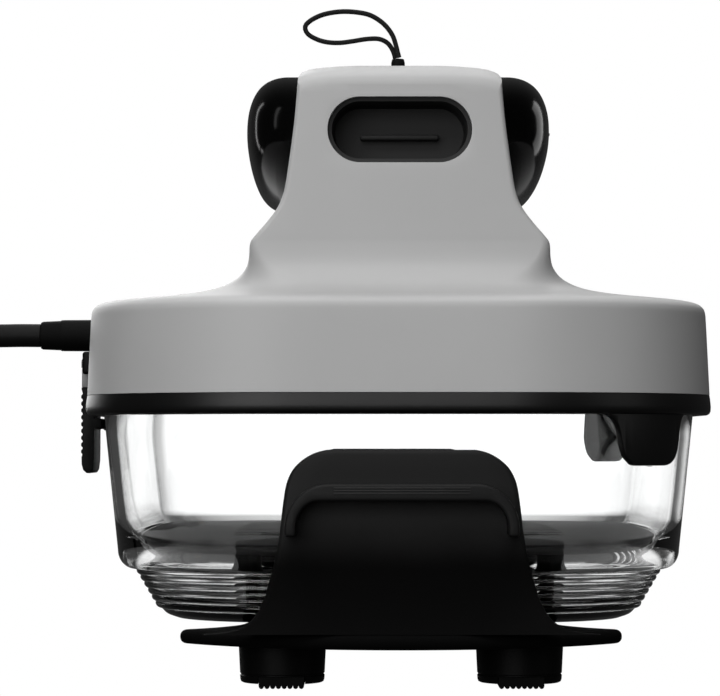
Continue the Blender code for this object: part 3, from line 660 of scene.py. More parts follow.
lead_drop = from_middle(
    (-142.3, 0.0, 129.0), (-153.0, 0.0, 129.0), (-165.0, 0.0, 128.4), (-178.0, 0.2, 125.2),
    (-190.5, 0.6, 118.0), (-201.0, 1.2, 107.0), (-208.5, 1.6, 93.0), (-213.0, 0.8, 78.0),
    (-215.5, -2.2, 60.5), (-217.0, -7.0, 43.5), (-218.2, -14.5, 29.0), (-219.0, -23.5, 19.6),
    (-219.4, -32.0, 15.6), (-219.5, -40.0, 14.6))
lead_tail = from_middle(
    (-200.7, -75.0, 4.75), (-200.7, -87.5, 4.8), (-200.7, -95.0, 4.9), (-200.7, -101.5, 5.7),
    (-200.7, -108.0, 7.8), (-200.7, -114.0, 10.2), (-200.7, -119.0, 11.5), (-200.7, -125.0, 12.0))
print("points by hand:", len(lead_drop) + len(lead_tail))

# %% [markdown]
# ### The coil
# The turns follow an Archimedean spiral, so that each turn lies one thickness outside the last.

# %% Coil
COIL_TURNS = 2
coil_middle = Vector((MID_X - 262.5 * MM, -60.0 * MM, 0.0))
coil_start = 43.0 * MM


def coil_points(per_turn):
    """The flat coil, clockwise from its inner end, sinking off the outer turn as it starts."""
    points = [
        coil_middle + Vector((coil_start, 10.0 * MM, 11.0 * MM)),
        coil_middle + Vector((coil_start, 2.0 * MM, 7.4 * MM))]
    for step in range(1, per_turn * COIL_TURNS + 1):
        turn = step / per_turn
        radius = coil_start + LEAD_D * 1.005 * turn
        height = LEAD_D / 2 + (2.0 * MM if step == 1 else 0.05 * MM)
        angle = -2 * pi * turn
        points.append(coil_middle + Vector((radius * cos(angle), radius * sin(angle), height)))
    return points


lead_route = lead_drop + coil_points(28) + lead_tail
print("points on the route:", len(lead_route))


# %% [markdown]
# ### The cable itself
# A curve with a bevel depth is a cable at once: it stays round at every bend and needs no modelling.

# %% Cable
def smooth_route(points, step):
    """A smooth curve through the points, sampled about a step apart."""
    padded = [2 * points[0] - points[1], *points, 2 * points[-1] - points[-2]]
    made = [points[0]]
    for quad in zip(padded, padded[1:], padded[2:], padded[3:]):
        count = max(1, round((quad[2] - quad[1]).length / step))
        for index in range(1, count + 1):
            made.append(between(*quad, index / count))
    return made


def cable(name, points, diameter, resolution=5):
    """A round cable along the points, as a curve with its thickness and closed ends."""
    curve = bpy.data.curves.new(name, "CURVE")
    curve.dimensions = "3D"
    curve.bevel_depth = diameter / 2
    curve.bevel_resolution = resolution
    curve.use_fill_caps = True
    spline = curve.splines.new("POLY")
    spline.points.add(len(points) - 1)
    for point, place in zip(spline.points, points):
        point.co = (*place, 1.0)
    piece = bpy.data.objects.new(name, curve)
    bpy.context.scene.collection.objects.link(piece)
    return piece


def route_length(points):
    return sum((b - a).length for a, b in zip(points, points[1:]))


lead_line = smooth_route(lead_route, 2.5 * MM)
lead = cable("mains_lead", lead_line, LEAD_D)
place_piece(lead, SHEATH, "head", "cord_black", "mains_cord", "cord_coil", "cord_tail")
lead_length = route_length(lead_line)
print("mains lead:", round(lead_length, 3), "m")


# %% [markdown]
# ## The plug
# The plug is a soft moulding that lies beside the coil: a neck with bend-relief rings, a waisted
# body and two finger grooves. Its blades and pin keep their imported solids.

# %% Plug
plug_low, plug_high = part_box("plug_body")
plug_middle, plug_length = middle_of("plug_body"), plug_high.y - plug_low.y
PLUG_ROWS = (
    # distance from the neck's end, half width, half height
    (0.0, 5.2, 5.2), (0.6, 6.0, 6.0), (2.6, 6.1, 6.1), (3.2, 5.3, 5.3), (4.4, 5.3, 5.3),
    (5.0, 6.4, 6.4), (7.2, 6.5, 6.5), (7.8, 5.6, 5.6), (9.0, 5.6, 5.6), (9.6, 6.8, 6.8),
    (12.0, 7.0, 7.0), (15.0, 7.6, 7.4), (18.0, 10.0, 9.5), (22.0, 12.4, 11.2), (27.0, 12.2, 11.4),
    (32.0, 11.6, 11.4), (38.0, 12.6, 11.6), (42.0, 13.3, 11.8), (43.4, 12.9, 11.5),
    (44.0, 12.0, 10.8))
plug_rings = []
for along, half_x, half_z in PLUG_ROWS:
    outline = rounded(half_x * MM, half_z * MM, 6.2 * MM, 8, 3)
    y = plug_high.y - along * MM * plug_length / (44.0 * MM)
    plug_rings.append(facing_end(outline, y, plug_middle.z, plug_middle.x))
plug = settle(grow("plug_moulding", plug_rings), 50.0)
place_piece(plug, SHEATH, "head", "cord_black", "plug_body")

clip_low, clip_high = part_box("cord_clip")
clip_wall = 1.4 * MM
clip_outline = [
    (clip_low.x, clip_low.z), (clip_low.x + clip_wall, clip_low.z),
    (clip_low.x + clip_wall, clip_high.z - clip_wall),
    (clip_high.x - clip_wall, clip_high.z - clip_wall), (clip_high.x - clip_wall, clip_low.z),
    (clip_high.x, clip_low.z), (clip_high.x, clip_high.z), (clip_low.x, clip_high.z)]
clip = prism(
    "coil_clip", facing_end(clip_outline, clip_low.y, x=0.0), (0.0, clip_high.y - clip_low.y, 0.0),
    0.5 * MM)
place_piece(settle(clip), RUBBER, "head", "black_rubber", "cord_clip")


# %% [markdown]
# ## The strain relief
# A stepped rubber sleeve stiffens the lead where it leaves the head, so that it can't kink there.
# It is turned from one profile: a collar against the head, the sleeve, and a chamfer down to the
# lead.

# %% Strain relief
relief_low, relief_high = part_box("cord_strain_relief")
RELIEF_ROWS = (
    # share of the length from the head, radius
    (-0.10, 6.4), (0.0, 7.0), (0.06, 7.0), (0.09, 6.3), (0.60, 6.25), (0.66, 6.2), (0.68, 5.9),
    (0.97, 5.6), (1.0, 5.2), (1.0, 4.72))
relief_span = relief_high.x - relief_low.x
relief_rings = []
for share, radius in RELIEF_ROWS:
    relief_rings.append(facing_side(
        disc(radius * MM, 40), relief_high.x - share * relief_span, middle_of("cord_strain_relief").z))
relief = settle(grow("lead_strain_relief", relief_rings), 35.0)
place_piece(relief, RUBBER, "head", "black_rubber", "cord_strain_relief")


# %% [markdown]
# ## The carrying loop
# A thin braided loop stands out of a small gland near one end of the band. Its own stiffness holds
# it in a drooping teardrop to the left. Both ends go back into the gland.

# %% Loop and gland
LOOP_D = 1.9 * MM
LOOP_Y = -60.0
loop_points = from_middle(*((x, LOOP_Y + y, z) for x, y, z in (
    (0.4, -1.1, 232.8), (-0.1, -1.1, 234.6), (-0.8, -1.0, 237.4), (-2.2, -0.8, 241.5),
    (-5.4, -0.5, 245.7), (-10.3, -0.2, 249.0), (-15.9, 0.0, 250.3), (-22.2, 0.0, 250.5),
    (-28.5, 0.0, 249.4), (-33.2, 0.0, 247.2), (-35.4, 0.0, 244.8), (-34.4, 0.0, 242.0),
    (-30.9, 0.0, 239.9), (-26.9, 0.0, 238.8), (-22.2, 0.1, 238.6), (-17.5, 0.3, 239.2),
    (-12.0, 0.6, 240.1), (-7.4, 0.9, 240.2), (-4.3, 1.1, 238.9), (-2.5, 1.2, 236.8),
    (-1.5, 1.2, 234.6), (-1.1, 1.2, 232.8))))
loop_line = smooth_route(loop_points, 1.0 * MM)
loop = cable("carrying_loop", loop_line, LOOP_D, 3)
place_piece(loop, BRAID, "head", "cord_black", "lanyard_loop")
loop_length = route_length(loop_line)

gland_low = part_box("lanyard_gland")[0]
GLAND_ROWS = (
    # radius, height over the gland's underside
    (2.6, -0.4), (2.6, 0.9), (2.5, 1.2), (2.35, 1.9), (2.2, 2.2), (1.9, 2.3), (1.0, 2.25))
gland_rings = [
    lying(disc(radius * MM), gland_low.z + up * MM, y=LOOP_Y * MM) for radius, up in GLAND_ROWS]
gland = settle(grow("loop_gland", gland_rings), 40.0)
place_piece(gland, RUBBER, "head", "black_rubber", "lanyard_gland")
print("loop:", round(loop_length, 4), "m")


# %% [markdown]
# ## The grey head
# One moulding makes the low slab, the bell-shaped neck and the band that crosses the top. Its key
# sections are listed, as a designer would sketch them, and a smooth curve through them gives the
# sections between. The skin gets a wall, and the windows for the pods and for the finger recesses
# are then cut through it, and the rims of the recess windows rounded.

# %% Head skin
HEAD_ROWS = (
    # height, half width, half length, corner radius
    (104.02, 117.6, 140.1, 78.0), (118.0, 117.0, 139.5, 77.8), (131.0, 116.4, 139.0, 77.6),
    (135.2, 116.0, 138.7, 77.2), (137.2, 114.8, 137.6, 76.2), (138.6, 111.6, 135.0, 73.4),
    (139.5, 103.8, 129.9, 67.0), (140.4, 91.0, 125.2, 55.5), (141.6, 77.5, 121.5, 42.5),
    (143.4, 67.2, 118.3, 31.0), (146.2, 60.2, 115.6, 20.0), (149.8, 56.4, 113.4, 11.0),
    (153.5, 55.1, 112.4, 6.0), (158.6, 54.6, 112.0, 3.2), (161.4, 52.8, 112.0, 2.6),
    (166.0, 48.8, 112.0, 2.4), (171.0, 45.0, 112.0, 2.2), (175.0, 43.0, 112.0, 2.0),
    (181.4, 41.4, 112.0, 1.8), (200.0, 38.8, 112.0, 1.8), (211.0, 37.7, 112.0, 1.8),
    (216.4, 37.3, 112.0, 1.8), (245.0, 35.2, 112.0, 1.8))
head_rings = [
    lying(rounded(a * MM, b * MM, r * MM, 16, 8), z * MM) for z, a, b, r in flow(HEAD_ROWS, 4)]
head = grow("head_moulding", head_rings)
print("head skin:", len(head.data.polygons), "faces")

# %% [markdown]
# ### The band's arched top
# The band's top is arched along its length and falls softly towards its two edges. The skin is
# grown past it and cut with the arch. A second skin, one wall smaller, then hollows it from below.

# %% Crown
CROWN_ROWS = (
    # distance from the middle, height
    (112.0, 216.6), (111.6, 219.0), (110.5, 220.8), (108.4, 222.0), (104.0, 223.0), (88.0, 225.9),
    (70.0, 228.5), (50.0, 231.0), (30.0, 232.7), (10.0, 233.6))
CROWN_DROPS = (
    # distance across from the middle, drop below the arch
    (0.0, 0.0), (12.0, 0.0), (19.0, 0.1), (28.0, 0.7), (33.7, 1.5), (37.4, 3.0), (44.0, 6.6))


def crown_tool():
    """The space above the arch, as rings across the band."""
    side = flow(CROWN_ROWS[4:], 3)
    edge = [list(row) for row in CROWN_ROWS[:4]]
    near = [(-y, z) for y, z in edge + side]
    profile = [(-130.0, 208.0), *near, *reversed(edge + side), (130.0, 208.0)]
    drops = flow([(-x, drop) for x, drop in reversed(CROWN_DROPS[1:])] + list(CROWN_DROPS), 2)
    rings = []
    for x, drop in drops:
        ring = [Vector((MID_X + x * MM, y * MM, (z - drop) * MM)) for y, z in profile]
        rings.append(ring + [Vector((MID_X + x * MM, y, 0.26)) for y in (0.13, -0.13)])
    return grow("crown", rings)


carve(head, crown_tool())
HEAD_WALL = 2.6
hollow_rows = [(100.0, *HEAD_ROWS[0][1:])] + [
    (z - HEAD_WALL * (z > 130.0), *sizes) for z, *sizes in HEAD_ROWS[:-1]]
hollow_rows += [
    (216.0, 36.6, 108.6, 5.0), (221.0, 36.0, 86.0, 5.0), (226.0, 35.4, 52.0, 5.0),
    (229.0, 34.0, 22.0, 5.0)]
hollow = [
    lying(rounded(
        (a - HEAD_WALL) * MM, (b - HEAD_WALL) * MM, max(r - HEAD_WALL, 1.0) * MM, 12, 4), z * MM)
    for z, a, b, r in hollow_rows]
carve(head, grow("hollow", hollow))
print("crowned and hollowed head:", len(head.data.polygons), "faces")

# %% [markdown]
# ### Windows and recesses
# Each pod sits in a window of its own outline, a hair larger. The finger recess in each end of the
# band is a stadium with a soft rolled rim, which catches the light as a pale outline.

# %% Cut the head
pod_low, pod_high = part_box("control_pod")
pod_z = middle_of("control_pod").z
pod_half_z, pod_half_y = (pod_high.z - pod_low.z) / 2, (pod_high.y - pod_low.y) / 2
pod_gap = 0.35 * MM
for sign in (1, -1):
    outline = oval(pod_half_y + pod_gap, pod_half_z + pod_gap)
    carve(head, grow("pod_window", [
        facing_side(outline, MID_X + sign * out, pod_z) for out in (33.0 * MM, 75.0 * MM)]))

recess_low, recess_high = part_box("grip_liner_front")
recess_z = middle_of("grip_liner_front").z
recess_half_x = (recess_high.x - recess_low.x) / 2 + 0.3 * MM
recess_half_z = (recess_high.z - recess_low.z) / 2 + 0.3 * MM
for sign in (1, -1):
    outline = rounded(recess_half_x, recess_half_z, recess_half_z, 16, 4)
    carve(head, grow("recess_window", [
        facing_end(outline, sign * out, recess_z) for out in (104.0 * MM, 125.0 * MM)]))


def on_stadium(point, tolerance):
    """Whether a point lies on the wall of the finger recess's window."""
    straight = recess_half_x - recess_half_z
    across = max(0.0, abs(point.x - MID_X) - straight)
    return abs(sqrt(across ** 2 + (point.z - recess_z) ** 2) - recess_half_z) < tolerance


take(head)
bpy.ops.object.mode_set(mode="EDIT")
bpy.ops.mesh.select_mode(type="EDGE")
bpy.ops.mesh.select_all(action="DESELECT")
head_mesh = bmesh.from_edit_mesh(head.data)
rim_edges = 0
for edge in head_mesh.edges:
    ends = [vert.co for vert in edge.verts]
    if all(on_stadium(point, 0.15 * MM) and abs(point.y) > 110.3 * MM for point in ends):
        edge.select_set(True)
        rim_edges += 1
bpy.ops.mesh.bevel(offset=1.9 * MM, segments=5, affect="EDGES", clamp_overlap=True)
bpy.ops.mesh.select_mode(type="VERT")
bpy.ops.object.mode_set(mode="OBJECT")
settle(head, 32.0)
place_piece(head, HEAD_GREY, "head", "head_grey", "head_housing")
print("recess rim edges rounded:", rim_edges)


# %% [markdown]
# ## The pods
# A glossy shell fills each window and bulges out of it. The one on the control side carries touch
# marks: plain rings and two bars, under the surface in real life, so they stand out only by a hair
# here. The other pod has a row of exhaust slots for the motor's cooling air.

# %% Pods
POD_ROWS = (
    # distance out from the middle, half height, half length
    (34.5, 25.0, 92.0), (40.0, 25.0, 92.0), (44.0, 24.9, 91.9), (47.6, 24.1, 91.0),
    (50.8, 22.5, 88.8), (53.4, 20.0, 85.2), (55.4, 16.6, 79.0), (56.8, 12.4, 70.0),
    (57.6, 7.9, 57.0), (57.95, 3.9, 42.0), (58.0, 1.4, 30.0))
EXHAUST_SLOTS, EXHAUST_PITCH = 13, 7.0


def pod_skin(name, sign):
    rings = []
    for out, half_z, half_y in flow(POD_ROWS, 4):
        outline = oval(half_y * MM, half_z * MM, count=128)
        rings.append(facing_side(outline, MID_X + sign * out * MM, pod_z))
    return grow(name, rings)


control = settle(pod_skin("control_pod_shell", 1), 40.0)
place_piece(control, POLISHED, "head", "pod_black", "control_pod")

rear = pod_skin("rear_pod_shell", -1)
slots = []
for index in range(EXHAUST_SLOTS):
    y = (index - EXHAUST_SLOTS // 2) * EXHAUST_PITCH * MM
    slots.append(block(
        "slot", (MID_X - 70.0 * MM, y - 1.3 * MM, pod_z - 9.0 * MM),
        (MID_X - 53.6 * MM, y + 1.3 * MM, pod_z + 9.0 * MM), 1.2 * MM))
carve(rear, join("slots", slots))
settle(rear, 40.0)
place_piece(rear, POLISHED, "head", "pod_black", "rear_pod")

# %% [markdown]
# ### Touch marks
# Each ring is a torus, sunk so that only a hair stands proud, and each bar is a thin block.

# %% Touch marks
RING_COUNT, RING_PITCH = 5, 17.0
marks = []
pod_face = MID_X + POD_ROWS[-1][0] * MM
for index in range(RING_COUNT):
    rest()
    y = (index - RING_COUNT // 2) * RING_PITCH * MM
    bpy.ops.mesh.primitive_torus_add(
        major_radius=3.4 * MM, minor_radius=0.32 * MM, major_segments=40, minor_segments=10,
        location=(pod_face - 0.10 * MM, y, pod_z), rotation=(0.0, radians(90.0), 0.0))
    marks.append(bpy.context.object)
for y in (-50.0 * MM, 50.0 * MM):
    marks.append(block(
        "bar", (pod_face - 0.4 * MM, y - 4.0 * MM, pod_z - 0.45 * MM),
        (pod_face + 0.18 * MM, y + 4.0 * MM, pod_z + 0.45 * MM), 0.15 * MM, 2))
touch_marks = settle(join("touch_marks", marks), 40.0)
place_piece(touch_marks, PALE_MARK, "head", "pod_black")


# %% [markdown]
# ## The finger recesses
# Each is a deep cup with rounded inner corners, so fingertips hook behind the band. One thin rib
# runs across its floor and stiffens it.

# %% Recess liners
def recess_liner(name, sign):
    rows = (
        # distance from the machine's middle, inset from the window
        (110.6, 0.15), (106.0, 0.15), (93.0, 0.3), (92.4, 0.6), (92.4, 2.4), (94.0, 2.6),
        (96.5, 1.9), (100.0, 1.7), (110.2, 1.5))
    rings = []
    for out, inset in rows:
        outline = rounded(recess_half_x - inset * MM, recess_half_z - inset * MM, recess_half_z, 14, 4)
        rings.append(facing_end(outline, sign * out * MM, recess_z))
    cup = grow(name, rings, closed=True)
    floor_outline = rounded(recess_half_x - 2.2 * MM, recess_half_z - 2.2 * MM, recess_half_z, 14, 4)
    floor = prism(
        name + "_floor", facing_end(floor_outline, sign * 92.6 * MM, recess_z),
        (0.0, sign * 1.6 * MM, 0.0))
    rib_y = sorted((sign * 93.0 * MM, sign * 99.0 * MM))
    rib = block(
        name + "_rib", (MID_X - 14.5 * MM, rib_y[0], recess_z - 2.6 * MM),
        (MID_X + 14.5 * MM, rib_y[1], recess_z - 0.5 * MM), 0.9 * MM, 4)
    return settle(join(name, [cup, floor, rib]), 40.0)


for side, sign in (("front", -1), ("back", 1)):
    liner = recess_liner(f"finger_recess_{side}", sign)
    place_piece(liner, RECESS_BLACK, "head", "black_plastic", f"grip_liner_{side}")


# %% [markdown]
# ## The rim
# A black ring under the slab closes the head, and its skirt goes round the top of the glass. Two
# tabs hang from it round the bowl's corners on the control side. Their edges are S-curves, so a
# finger or a cloth slides off them.

# %% Rim ring
HEAD_PLAN = (117.5 * MM, 140.0 * MM, 78.0 * MM)


def plan(inset, corner_steps=20):
    """The head's outline seen from above, inset by some millimetres."""
    half_x, half_y, corner = (size - inset * MM for size in HEAD_PLAN)
    return rounded(half_x, half_y, corner, corner_steps, 6)


def plan_rings(section):
    """A skin's rings, from (inset, height) pairs in millimetres."""
    return [lying(plan(inset), z * MM) for inset, z in section]


RIM_SECTION = (
    # inset from the head's outline, height
    (0.3, 103.98), (-0.1, 103.8), (-0.35, 102.4), (-0.6, 99.6), (-0.5, 97.9), (0.0, 96.9),
    (1.0, 96.4), (4.2, 96.4), (4.7, 96.6), (4.9, 97.2), (4.9, 100.2), (21.5, 100.2), (21.5, 103.98))
rim = grow("rim_moulding", plan_rings(RIM_SECTION), closed=True)

TAB_EDGE = (
    # degrees round the corner from the side, share of the full drop
    (30.5, 0.0), (33.0, 0.06), (34.6, 0.2), (35.5, 0.4), (36.0, 0.6), (37.0, 0.8), (38.8, 0.93),
    (42.2, 1.0), (53.3, 1.0), (55.8, 0.93), (57.6, 0.8), (58.6, 0.6), (59.2, 0.4), (60.3, 0.2),
    (62.5, 0.06), (65.8, 0.0))
TAB_DROP = 18.9


def rim_tab(sign, turn):
    """One tab: a curtain round the bowl's corner whose lower edge follows the S on either side."""
    corner = HEAD_PLAN[2]
    middle = (HEAD_PLAN[0] - corner, HEAD_PLAN[1] - corner)
    inner, outer, edge = corner - 4.7 * MM, corner - 1.3 * MM, 0.9 * MM
    rings = []
    for around, share in flow(TAB_EDGE, 5):
        angle = radians(around - turn)
        low = (96.7 - TAB_DROP * min(1.0, max(0.0, share))) * MM
        section = (
            (inner, low + edge), (inner + 0.3 * edge, low + 0.3 * edge), (inner + edge, low),
            (outer - edge, low), (outer - 0.3 * edge, low + 0.3 * edge), (outer, low + edge),
            (outer, 98.6 * MM), (inner, 98.6 * MM))
        rings.append([
            Vector((MID_X + middle[0] + r * cos(angle), sign * (middle[1] + r * sin(angle)), z))
            for r, z in section])
    return grow("rim_tab", rings)


for sign, turn in ((-1, 0.0), (1, 9.0)):
    carve(rim, rim_tab(sign, turn), "UNION")
settle(rim, 38.0)
place_piece(rim, RIM_BLACK, "head", "black_plastic", "rim_ring")


# %% [markdown]
# The soft seal hooks over the bowl's lip on both sides, so the lip never shows. Its inner half is a
# second ring, as deep as the rim.

# %% Seal lip
SEAL_SECTION = ((10.9, 100.1), (10.9, 96.9), (11.3, 96.35), (12.3, 96.35), (12.8, 96.9), (12.8, 100.1))
seal_lip = settle(grow("seal_lip", plan_rings(SEAL_SECTION), closed=True), 38.0)
place_piece(seal_lip, RUBBER, "head", "black_rubber")


# %% [markdown]
# ## The glass bowl
# The bowl is one closed skin: up the inside, over a fire-polished lip, down the drafted wall, round
# the shoulder, in over six rounded ribs and across the flat bottom. Glass shows every bend of both
# its surfaces, so the inner floor is drawn with as much care as the outside.

# %% Bowl
WALL_DRAFT = tan(radians(6.0))
BOWL_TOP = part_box("glass_bowl")[1].z / MM
SHOULDER_TOP, RIB_TOP = 46.0, 39.0
RIB_COUNT, RIB_PITCH, RIB_STEP = 6, 2.45, 1.43


def wall_inset(z):
    return 6.0 + (BOWL_TOP - z) * WALL_DRAFT


def bowl_section():
    """(inset, height) pairs in millimetres, from the middle of the floor out and round."""
    inner = [(70.0, 25.2), (52.0, 25.2), (40.0, 25.3)]
    inner += flow(
        [(34.5, 25.6), (30.0, 27.5), (25.3, 33.0), (21.5, 40.0), (18.0, 45.0), (15.2, 52.5)], 5)
    inner += [(wall_inset(z) + 4.0, z) for z in (58.0, 68.0, 78.0, 88.0, 96.6)]
    lip = [(wall_inset(98.4) + 2.0 + 2.0 * cos(a), 97.2 + 1.2 * sin(a)) for a in
           (radians(t) for t in (20, 45, 70, 90, 110, 135, 160))]
    wall = [(wall_inset(z), z) for z in (96.6, 88.0, 78.0, 68.0, 58.0, SHOULDER_TOP)]
    shoulder_in = 5.8
    bend = []
    for step in range(1, 11):
        turn = radians(9.0 * step)
        bend.append((wall_inset(SHOULDER_TOP) + shoulder_in * (1 - cos(turn)),
                     SHOULDER_TOP - (SHOULDER_TOP - RIB_TOP) * sin(turn)))
    ribs = []
    start = wall_inset(SHOULDER_TOP) + shoulder_in + 0.9
    for rib in range(RIB_COUNT):
        for step in range(7):
            turn = radians(-80.0 + 160.0 * step / 6)
            bulge = 1.25 * cos(turn)
            ribs.append((start + RIB_STEP * rib + RIB_STEP * step / 6 + 1.0 - bulge,
                         RIB_TOP - 0.15 - RIB_PITCH * (rib + 0.5) - 0.5 * RIB_PITCH * sin(turn)))
    end_inset, end_z = ribs[-1]
    foot = flow([(end_inset + 0.6, end_z - 0.3), (end_inset + 2.6, 22.0), (34.0, 20.6)], 4)
    foot += [(42.0, 20.5), (58.0, 20.5), (70.0, 20.5)]
    return inner + lip + wall + bend + ribs + foot


bowl = settle(grow("pressed_glass_bowl", plan_rings(bowl_section())), 60.0)
place_piece(bowl, GLASS, "base", "clear_glass", "glass_bowl")
print("bowl:", len(bowl.data.polygons), "faces")


# %% [markdown]
# ## The crisper plate
# A pressed plate with its rim turned down and rows of slots lets hot air under the food. The slots
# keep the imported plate's pitch, and each has round ends.

# %% Crisper plate
plate_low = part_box("crisper_plate")[0]
PLATE_INSET = 20.0
PLATE_SECTION = (
    # inset from the plate's edge, height over its underside
    (0.4, -1.6), (-0.1, -0.8), (-0.3, 0.2), (0.1, 1.2), (1.0, 1.6), (2.4, 1.7), (4.6, 1.6), (5.2, 1.6))
SLOT_ROWS, SLOT_COLUMNS = range(-6, 7), (-1, 0, 1)
SLOT_PITCH_X, SLOT_PITCH_Y = 45.0, 13.0

plate_skin = [
    lying(plan(PLATE_INSET + inset, 16), plate_low.z + up * MM) for inset, up in PLATE_SECTION]
plate = grow("crisper_plate_pressing", plate_skin, first_cap=False)
apply_modifier(plate, "SOLIDIFY", thickness=1.2 * MM, offset=-1.0)
slots = []
for row in SLOT_ROWS:
    for column in SLOT_COLUMNS:
        outline = rounded(17.0 * MM, 2.25 * MM, 2.25 * MM, 4, 1)
        x, y = MID_X + column * SLOT_PITCH_X * MM, row * SLOT_PITCH_Y * MM
        slots.append(prism(
            "slot", lying(outline, plate_low.z - 10.0 * MM, x, y), (0.0, 0.0, 20.0 * MM)))
carve(plate, join("slots", slots))
settle(plate, 35.0)
place_piece(plate, DARK_COAT, "crisper", "dark_steel", "crisper_plate")


# %% [markdown]
# ## The stand
# The base is a flat plate whose ends bow outwards, with a wing tip on either side. Its edge is
# rounded all over. The handles rise from it, and the bowl rests on it.

# %% Stand base
base_low, base_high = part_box("stand_base")
WING_X, WING_Y, END_Y = 77.3 * MM, 139.0 * MM, 176.0 * MM


def base_outline():
    sagitta = END_Y - WING_Y
    radius = (WING_X ** 2 + sagitta ** 2) / (2 * sagitta)
    half_angle = 50.6
    end = []
    for step in range(41):
        angle = radians(90.0 - half_angle + 2 * half_angle * step / 40)
        end.append((radius * cos(angle), END_Y - radius + radius * sin(angle)))
    tip = [(-78.0, 137.6), (-77.4, 135.6), (-75.4, 133.6)]
    neck = flow([(-72.0, 130.6), (-66.0, 123.0), (-59.0, 108.0), (-56.0, 84.0)], 5)
    left = [(x * MM, y * MM) for x, y in tip + neck]
    half = [(-x, y) for x, y in reversed(left)] + end + left
    return half + [(-x, -y) for x, y in half]


base = prism(
    "stand_base_plate", lying(base_outline(), base_low.z), (0.0, 0.0, base_high.z - base_low.z),
    2.2 * MM, 5, 60.0)
settle(base, 45.0)
place_piece(base, STAND_BLACK, "base", "black_plastic", "stand_base")


# %% [markdown]
# ## The carrying handles
# Each handle is a thin curved wall that sweeps out at its foot into the base, with an arched lip
# across it for the fingers. The wall is grown from thin sections, and the lip is an arch extruded
# outwards, with three fine grooves along its top edge.

# %% Handle wall
HANDLE_ROWS = (
    # height, half width, distance of the wall's middle from the machine's middle, half thickness
    (20.4, 68.0, 168.6, 3.6), (20.9, 61.5, 167.8, 3.4), (22.0, 56.6, 166.4, 3.1),
    (24.0, 52.9, 163.8, 2.8), (27.0, 50.2, 160.8, 2.6), (31.0, 48.2, 158.0, 2.4),
    (36.0, 46.5, 156.0, 2.3), (42.0, 44.9, 154.4, 2.25), (48.0, 43.6, 153.4, 2.25),
    (55.0, 42.5, 152.6, 2.25), (63.0, 41.6, 152.0, 2.2), (70.0, 40.6, 151.6, 2.2),
    (74.0, 39.4, 151.4, 2.2), (77.4, 37.4, 151.3, 2.2), (80.2, 34.4, 151.2, 2.1),
    (82.2, 31.0, 151.1, 1.9), (83.2, 28.0, 151.0, 1.5), (83.6, 26.0, 151.0, 1.0))


def handle_wall(name, sign):
    rings = []
    for z, half_x, out, thick in flow(HANDLE_ROWS, 3):
        outline = rounded(half_x * MM, thick * MM, min(thick, 1.9) * MM, 6, 10)
        rings.append(lying(outline, z * MM, y=sign * out * MM))
    return grow(name, rings)


# %% [markdown]
# ### The lip
# Seen from the end, the lip is an arch whose round shoulders run straight down into its legs. A
# bevel softens it. Three fine ridges of paler rubber run along its top edge, so fingers don't slip.

# %% Handle lip
LIP_TOP, LIP_FOOT = 71.8, 53.6
LIP_NEAR, LIP_FACE = 150.8, 167.8
FINGER_RUBBER = soft_black("pale_finger_rubber", 0.02, 0.5, 1500.0, 0.3)


def arch(reach, top, corner_x, corner_z):
    """Half an arch: the leg's end, then a quarter of an oval up to the flat top."""
    points = [(reach, LIP_FOOT)]
    for step in range(13):
        angle = radians(90.0 * step / 12)
        points.append((reach - corner_x * (1 - cos(angle)), top - corner_z * (1 - sin(angle))))
    return points


def handle_lip(name, sign):
    outer, inner = arch(40.5, LIP_TOP, 15.0, 15.5), arch(36.7, LIP_TOP - 5.9, 8.0, 9.5)
    outline = outer + [(-x, z) for x, z in reversed(outer)]
    outline += [(-x, z) for x, z in inner] + list(reversed(inner))
    return prism(
        name, facing_end(in_mm(outline), sign * LIP_NEAR * MM),
        (0.0, sign * (LIP_FACE - LIP_NEAR) * MM, 0.0), 1.1 * MM, 4, 50.0)


def finger_ridges(name, sign):
    ridges = []
    for index in range(3):
        z = (LIP_TOP - 1.35 - 0.9 * index) * MM
        low_y, high_y = sorted((sign * (LIP_FACE - 0.8) * MM, sign * (LIP_FACE + 0.3) * MM))
        ridges.append(block(
            "ridge", (MID_X - 23.6 * MM, low_y, z - 0.22 * MM),
            (MID_X + 23.6 * MM, high_y, z + 0.22 * MM), 0.15 * MM, 2))
    return settle(join(name, ridges), 40.0)


for side, sign in (("front", -1), ("back", 1)):
    handle = handle_wall(f"carrying_handle_{side}", sign)
    carve(handle, handle_lip("lip", sign), "UNION")
    settle(handle, 35.0)
    place_piece(handle, STAND_BLACK, "base", "black_plastic", f"handle_{side}")
    place_piece(finger_ridges(f"finger_ridges_{side}", sign), FINGER_RUBBER, "base", "black_rubber")
print("handles:", len(handle.data.polygons), "faces each")


# %% [markdown]
# ## The feet
# A foot is a short tapered drum with a fine seam near its bottom and a slot for its rubber tread.
# The tread is a strip whose underside is a row of small round ridges, which also show from the
# end. A foot and a tread are made at each of the four corners.

# %% Feet and treads
tread_low, tread_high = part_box("tread_front_left")
FOOT_ROWS = (
    # height, radius
    (14.9, 15.5), (13.0, 15.4), (4.9, 15.0), (4.6, 14.7), (4.3, 14.7), (4.0, 15.0), (2.6, 14.9),
    (1.8, 14.6), (1.5, 14.0))
TREAD_TEETH = 8


def make_foot(name, x, y):
    foot = grow(name, [lying(disc(radius * MM, 72), z * MM, x, y) for z, radius in FOOT_ROWS])
    half = (tread_high.x - tread_low.x) / 2 + 0.25 * MM
    slot = block("slot", (x - half, y - 30.0 * MM, -10.0 * MM), (x + half, y + 30.0 * MM, tread_high.z))
    return settle(carve(foot, slot), 35.0)


